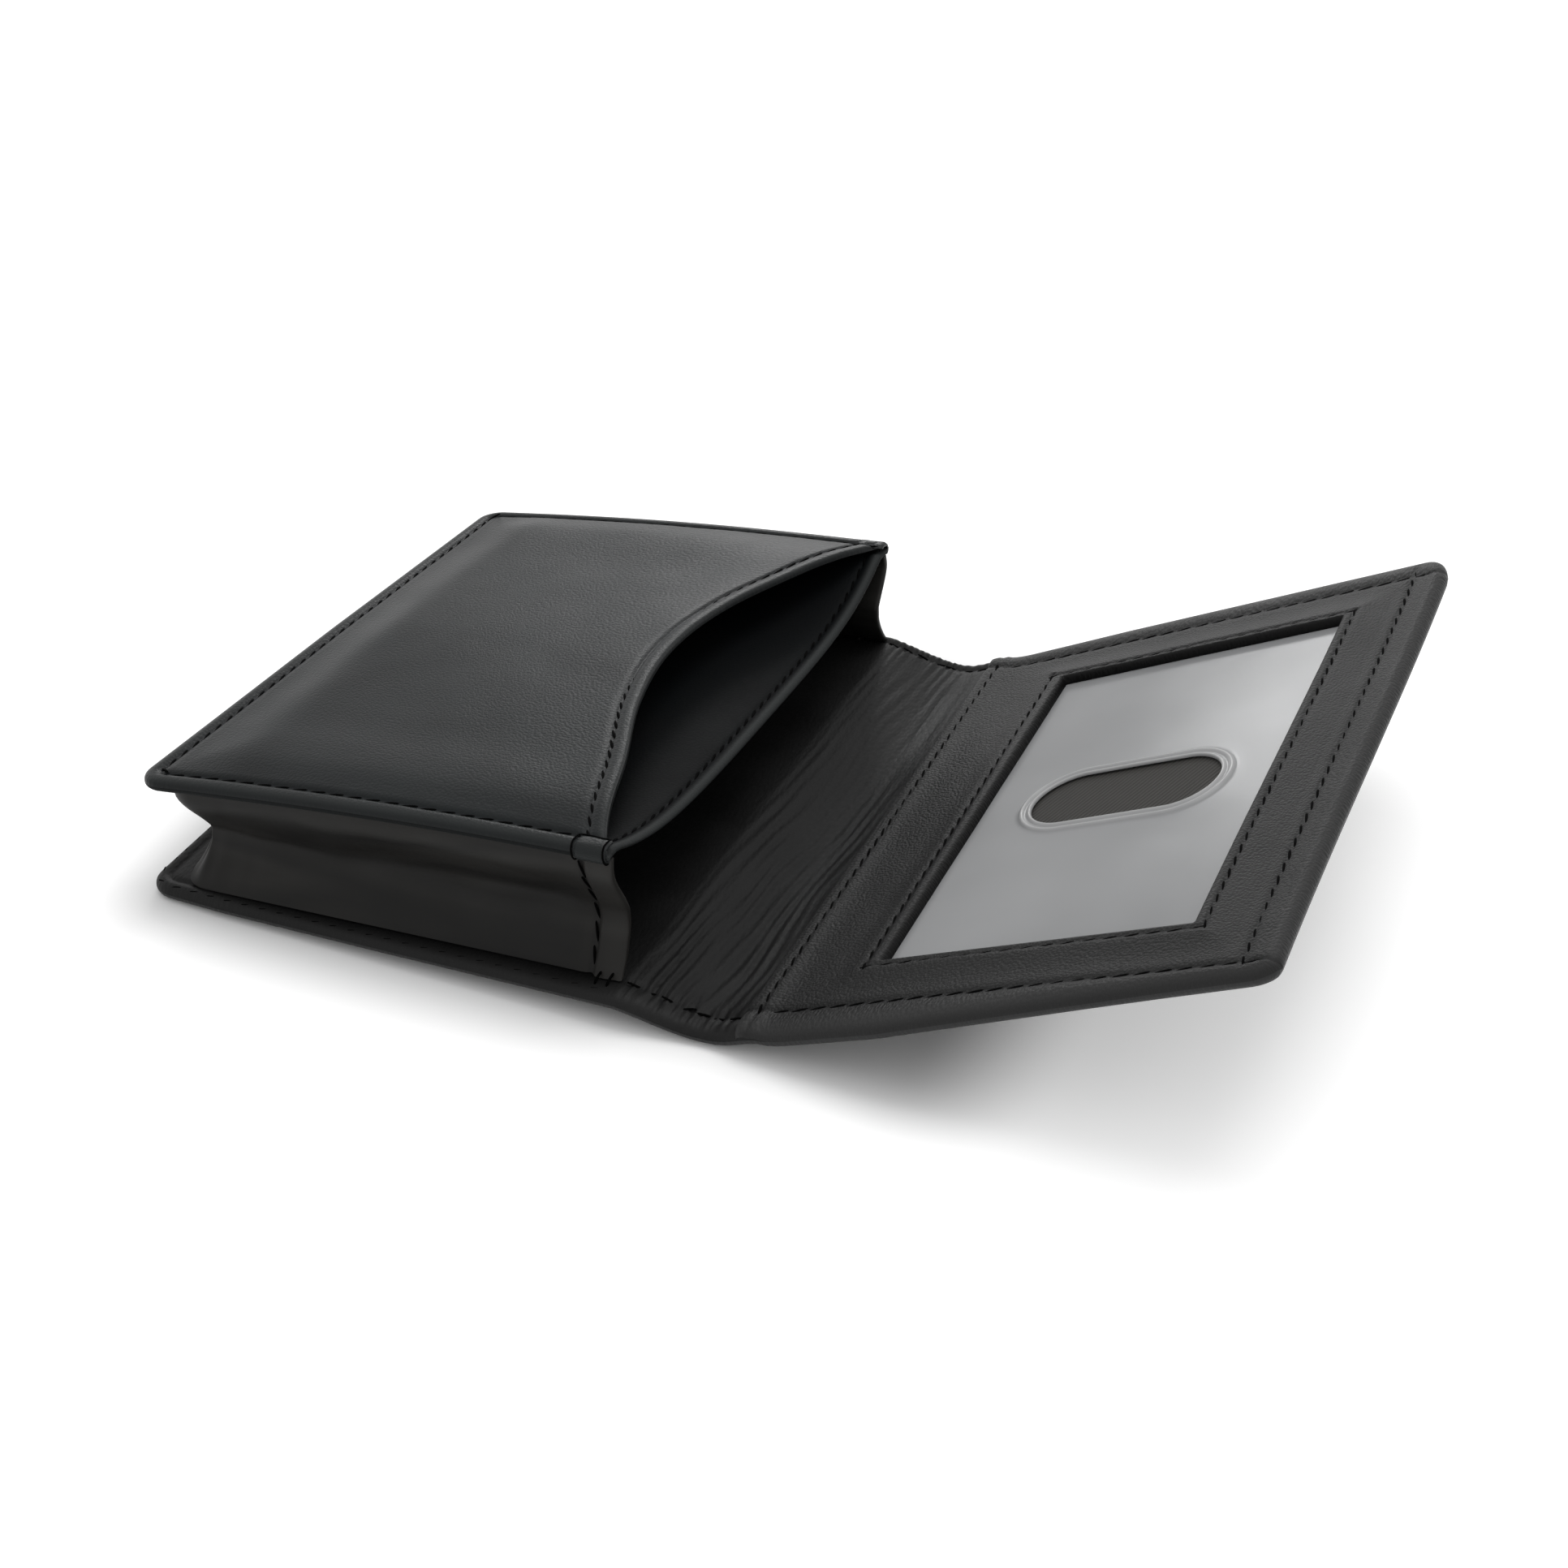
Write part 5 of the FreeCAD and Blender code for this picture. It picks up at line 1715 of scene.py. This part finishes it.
def seen_directly(tree):
    """One where the camera sees the studio, also in a reflection or through the film."""
    ray = add(tree, "ShaderNodeLightPath")
    mirrored = add(
        tree, "ShaderNodeMath", None,
        {0: ray.outputs["Is Glossy Ray"], 1: ray.outputs["Is Transmission Ray"]},
        operation="MAXIMUM",
    )
    return add(
        tree, "ShaderNodeMath", None,
        {0: ray.outputs["Is Camera Ray"], 1: mirrored.outputs["Value"]}, operation="MAXIMUM",
    ).outputs["Value"]


def white_paper(ground):
    """Matt white paper, which keeps the case's shadow. Its glow, left out in a box round the case
    and growing to white a little way from it, paints a shadow round the case."""
    material, tree = begin("white paper")
    paper = add(tree, "ShaderNodeBsdfDiffuse", {"Color": (0.88, 0.88, 0.88, 1)})
    away = add(tree, "ShaderNodeTexCoord").outputs["Object"]
    for operation, value in (
        ("ADD", (-PAINTED_SHADOW_MIDDLE, 0.0, 0.0)), ("ABSOLUTE", None), ("SUBTRACT", PAINTED_SHADOW_BOX),
        ("MAXIMUM", (0.0, 0.0, 0.0)),
    ):
        away = add(
            tree, "ShaderNodeVectorMath", {1: value} if value else None, {0: away},
            operation=operation,
        ).outputs["Vector"]
    distance = add(tree, "ShaderNodeVectorMath", None, {0: away}, operation="LENGTH")
    # Painted shadow: no glow inside the box round the case, more glow further out.
    glow_past_painted_shadow = add(
        tree, "ShaderNodeMapRange",
        {"From Min": 0.0, "From Max": GLOW_REACH, "To Min": 0.0, "To Max": GLOW},
        {"Value": distance.outputs["Value"]}, interpolation_type="SMOOTHSTEP",
    )
    level = add(
        tree, "ShaderNodeMath", None, {0: seen_directly(tree), 1: glow_past_painted_shadow.outputs["Result"]},
        operation="MULTIPLY",
    )
    glow = add(
        tree, "ShaderNodeEmission", {"Color": ground}, {"Strength": level.outputs["Value"]}
    )
    both = add(
        tree, "ShaderNodeAddShader", None,
        {0: paper.outputs["BSDF"], 1: glow.outputs["Emission"]},
    )
    add(tree, "ShaderNodeOutputMaterial", links={"Surface": both.outputs["Shader"]})
    return material


def white_sky(ground):
    """Even light from all round, plain white where it is seen."""
    world = bpy.data.worlds.new("white studio")
    world.use_nodes = True
    tree = world.node_tree
    tree.nodes.clear()
    level = add(
        tree, "ShaderNodeMapRange", {"To Min": SKY, "To Max": 1.0}, {"Value": seen_directly(tree)}
    )
    sky = add(
        tree, "ShaderNodeBackground", {"Color": ground}, {"Strength": level.outputs["Result"]}
    )
    add(tree, "ShaderNodeOutputWorld", links={"Surface": sky.outputs["Background"]})
    return world


def set_up(name, data, location, rotation):
    """A lamp or the camera at its place."""
    holder = bpy.data.objects.new(name, data)
    holder.location, holder.rotation_euler = location, rotation
    bpy.context.scene.collection.objects.link(holder)
    return holder


class CASE_OT_studio(bpy.types.Operator):
    """Floor, backdrop, soft lights and camera"""

    bl_idname = "card_case.studio"
    bl_label = "Studio"

    def execute(self, context):
        key, ground = context.scene.case_look.key_power, colour("ground")
        clear_selection()
        bpy.ops.mesh.primitive_plane_add(size=6.0, location=(0, 0, -0.00012))
        floor = bpy.context.object
        floor.name = "studio_floor"
        floor.data.materials.append(white_paper(ground))
        context.scene.world = white_sky(ground)
        for name, place, width, power in (
            ("back_softbox", (-0.27, 0.67, 0.285), 0.18, key * 0.27),
            ("top_softbox", (0.06, 0.20, 0.86), 0.50, key),
        ):
            lamp = bpy.data.lights.new(name, "AREA")
            lamp.shape, lamp.size, lamp.energy = "SQUARE", width, power
            aim = Vector((0, 0, 0.01)) - Vector(place)
            set_up(name, lamp, place, aim.to_track_quat("-Z", "Y").to_euler())
        camera = bpy.data.cameras.new("studio_camera")
        camera.lens = 61.88
        camera.clip_start = 0.01
        context.scene.camera = set_up(
            "studio_camera", camera, (0.12771, -0.32326, 0.22707),
            (math.radians(90 - 32.175), 0, math.radians(22.325)),
        )
        context.scene.view_settings.view_transform = "Standard"
        return {"FINISHED"}


class CASE_PT_panel(bpy.types.Panel):
    """Lists the case's pieces"""

    bl_idname = "CASE_PT_panel"
    bl_label = "Card case"
    bl_space_type = "VIEW_3D"
    bl_region_type = "UI"
    bl_category = "Card case"

    def draw(self, context):
        for group in (context.scene.case_sizes, context.scene.case_look):
            for name in group.__annotations__:
                self.layout.prop(group, name)
        for operator in OPERATORS:
            self.layout.operator(operator.bl_idname)


OPERATORS = (
    CASE_OT_cover, CASE_OT_lining, CASE_OT_gusset, CASE_OT_divider, CASE_OT_front,
    CASE_OT_corners, CASE_OT_window, CASE_OT_id_panel, CASE_OT_boards, CASE_OT_studio,
)
CLASSES = (CaseSizes, CaseLook, *OPERATORS, CASE_PT_panel)


def register():
    for item in CLASSES:
        bpy.utils.register_class(item)
    bpy.types.Scene.case_sizes = bpy.props.PointerProperty(type=CaseSizes)
    bpy.types.Scene.case_look = bpy.props.PointerProperty(type=CaseLook)


def unregister():
    del bpy.types.Scene.case_look
    del bpy.types.Scene.case_sizes
    for item in reversed(CLASSES):
        bpy.utils.unregister_class(item)


def main():
    register()
    bpy.ops.card_case.cover()
    bpy.ops.card_case.lining()
    bpy.ops.card_case.gusset()
    bpy.ops.card_case.divider()
    bpy.ops.card_case.front()
    bpy.ops.card_case.corners()
    bpy.ops.card_case.window()
    bpy.ops.card_case.id_panel()
    bpy.ops.card_case.boards()
    bpy.ops.card_case.studio()


if __name__ == "__main__":
    main()
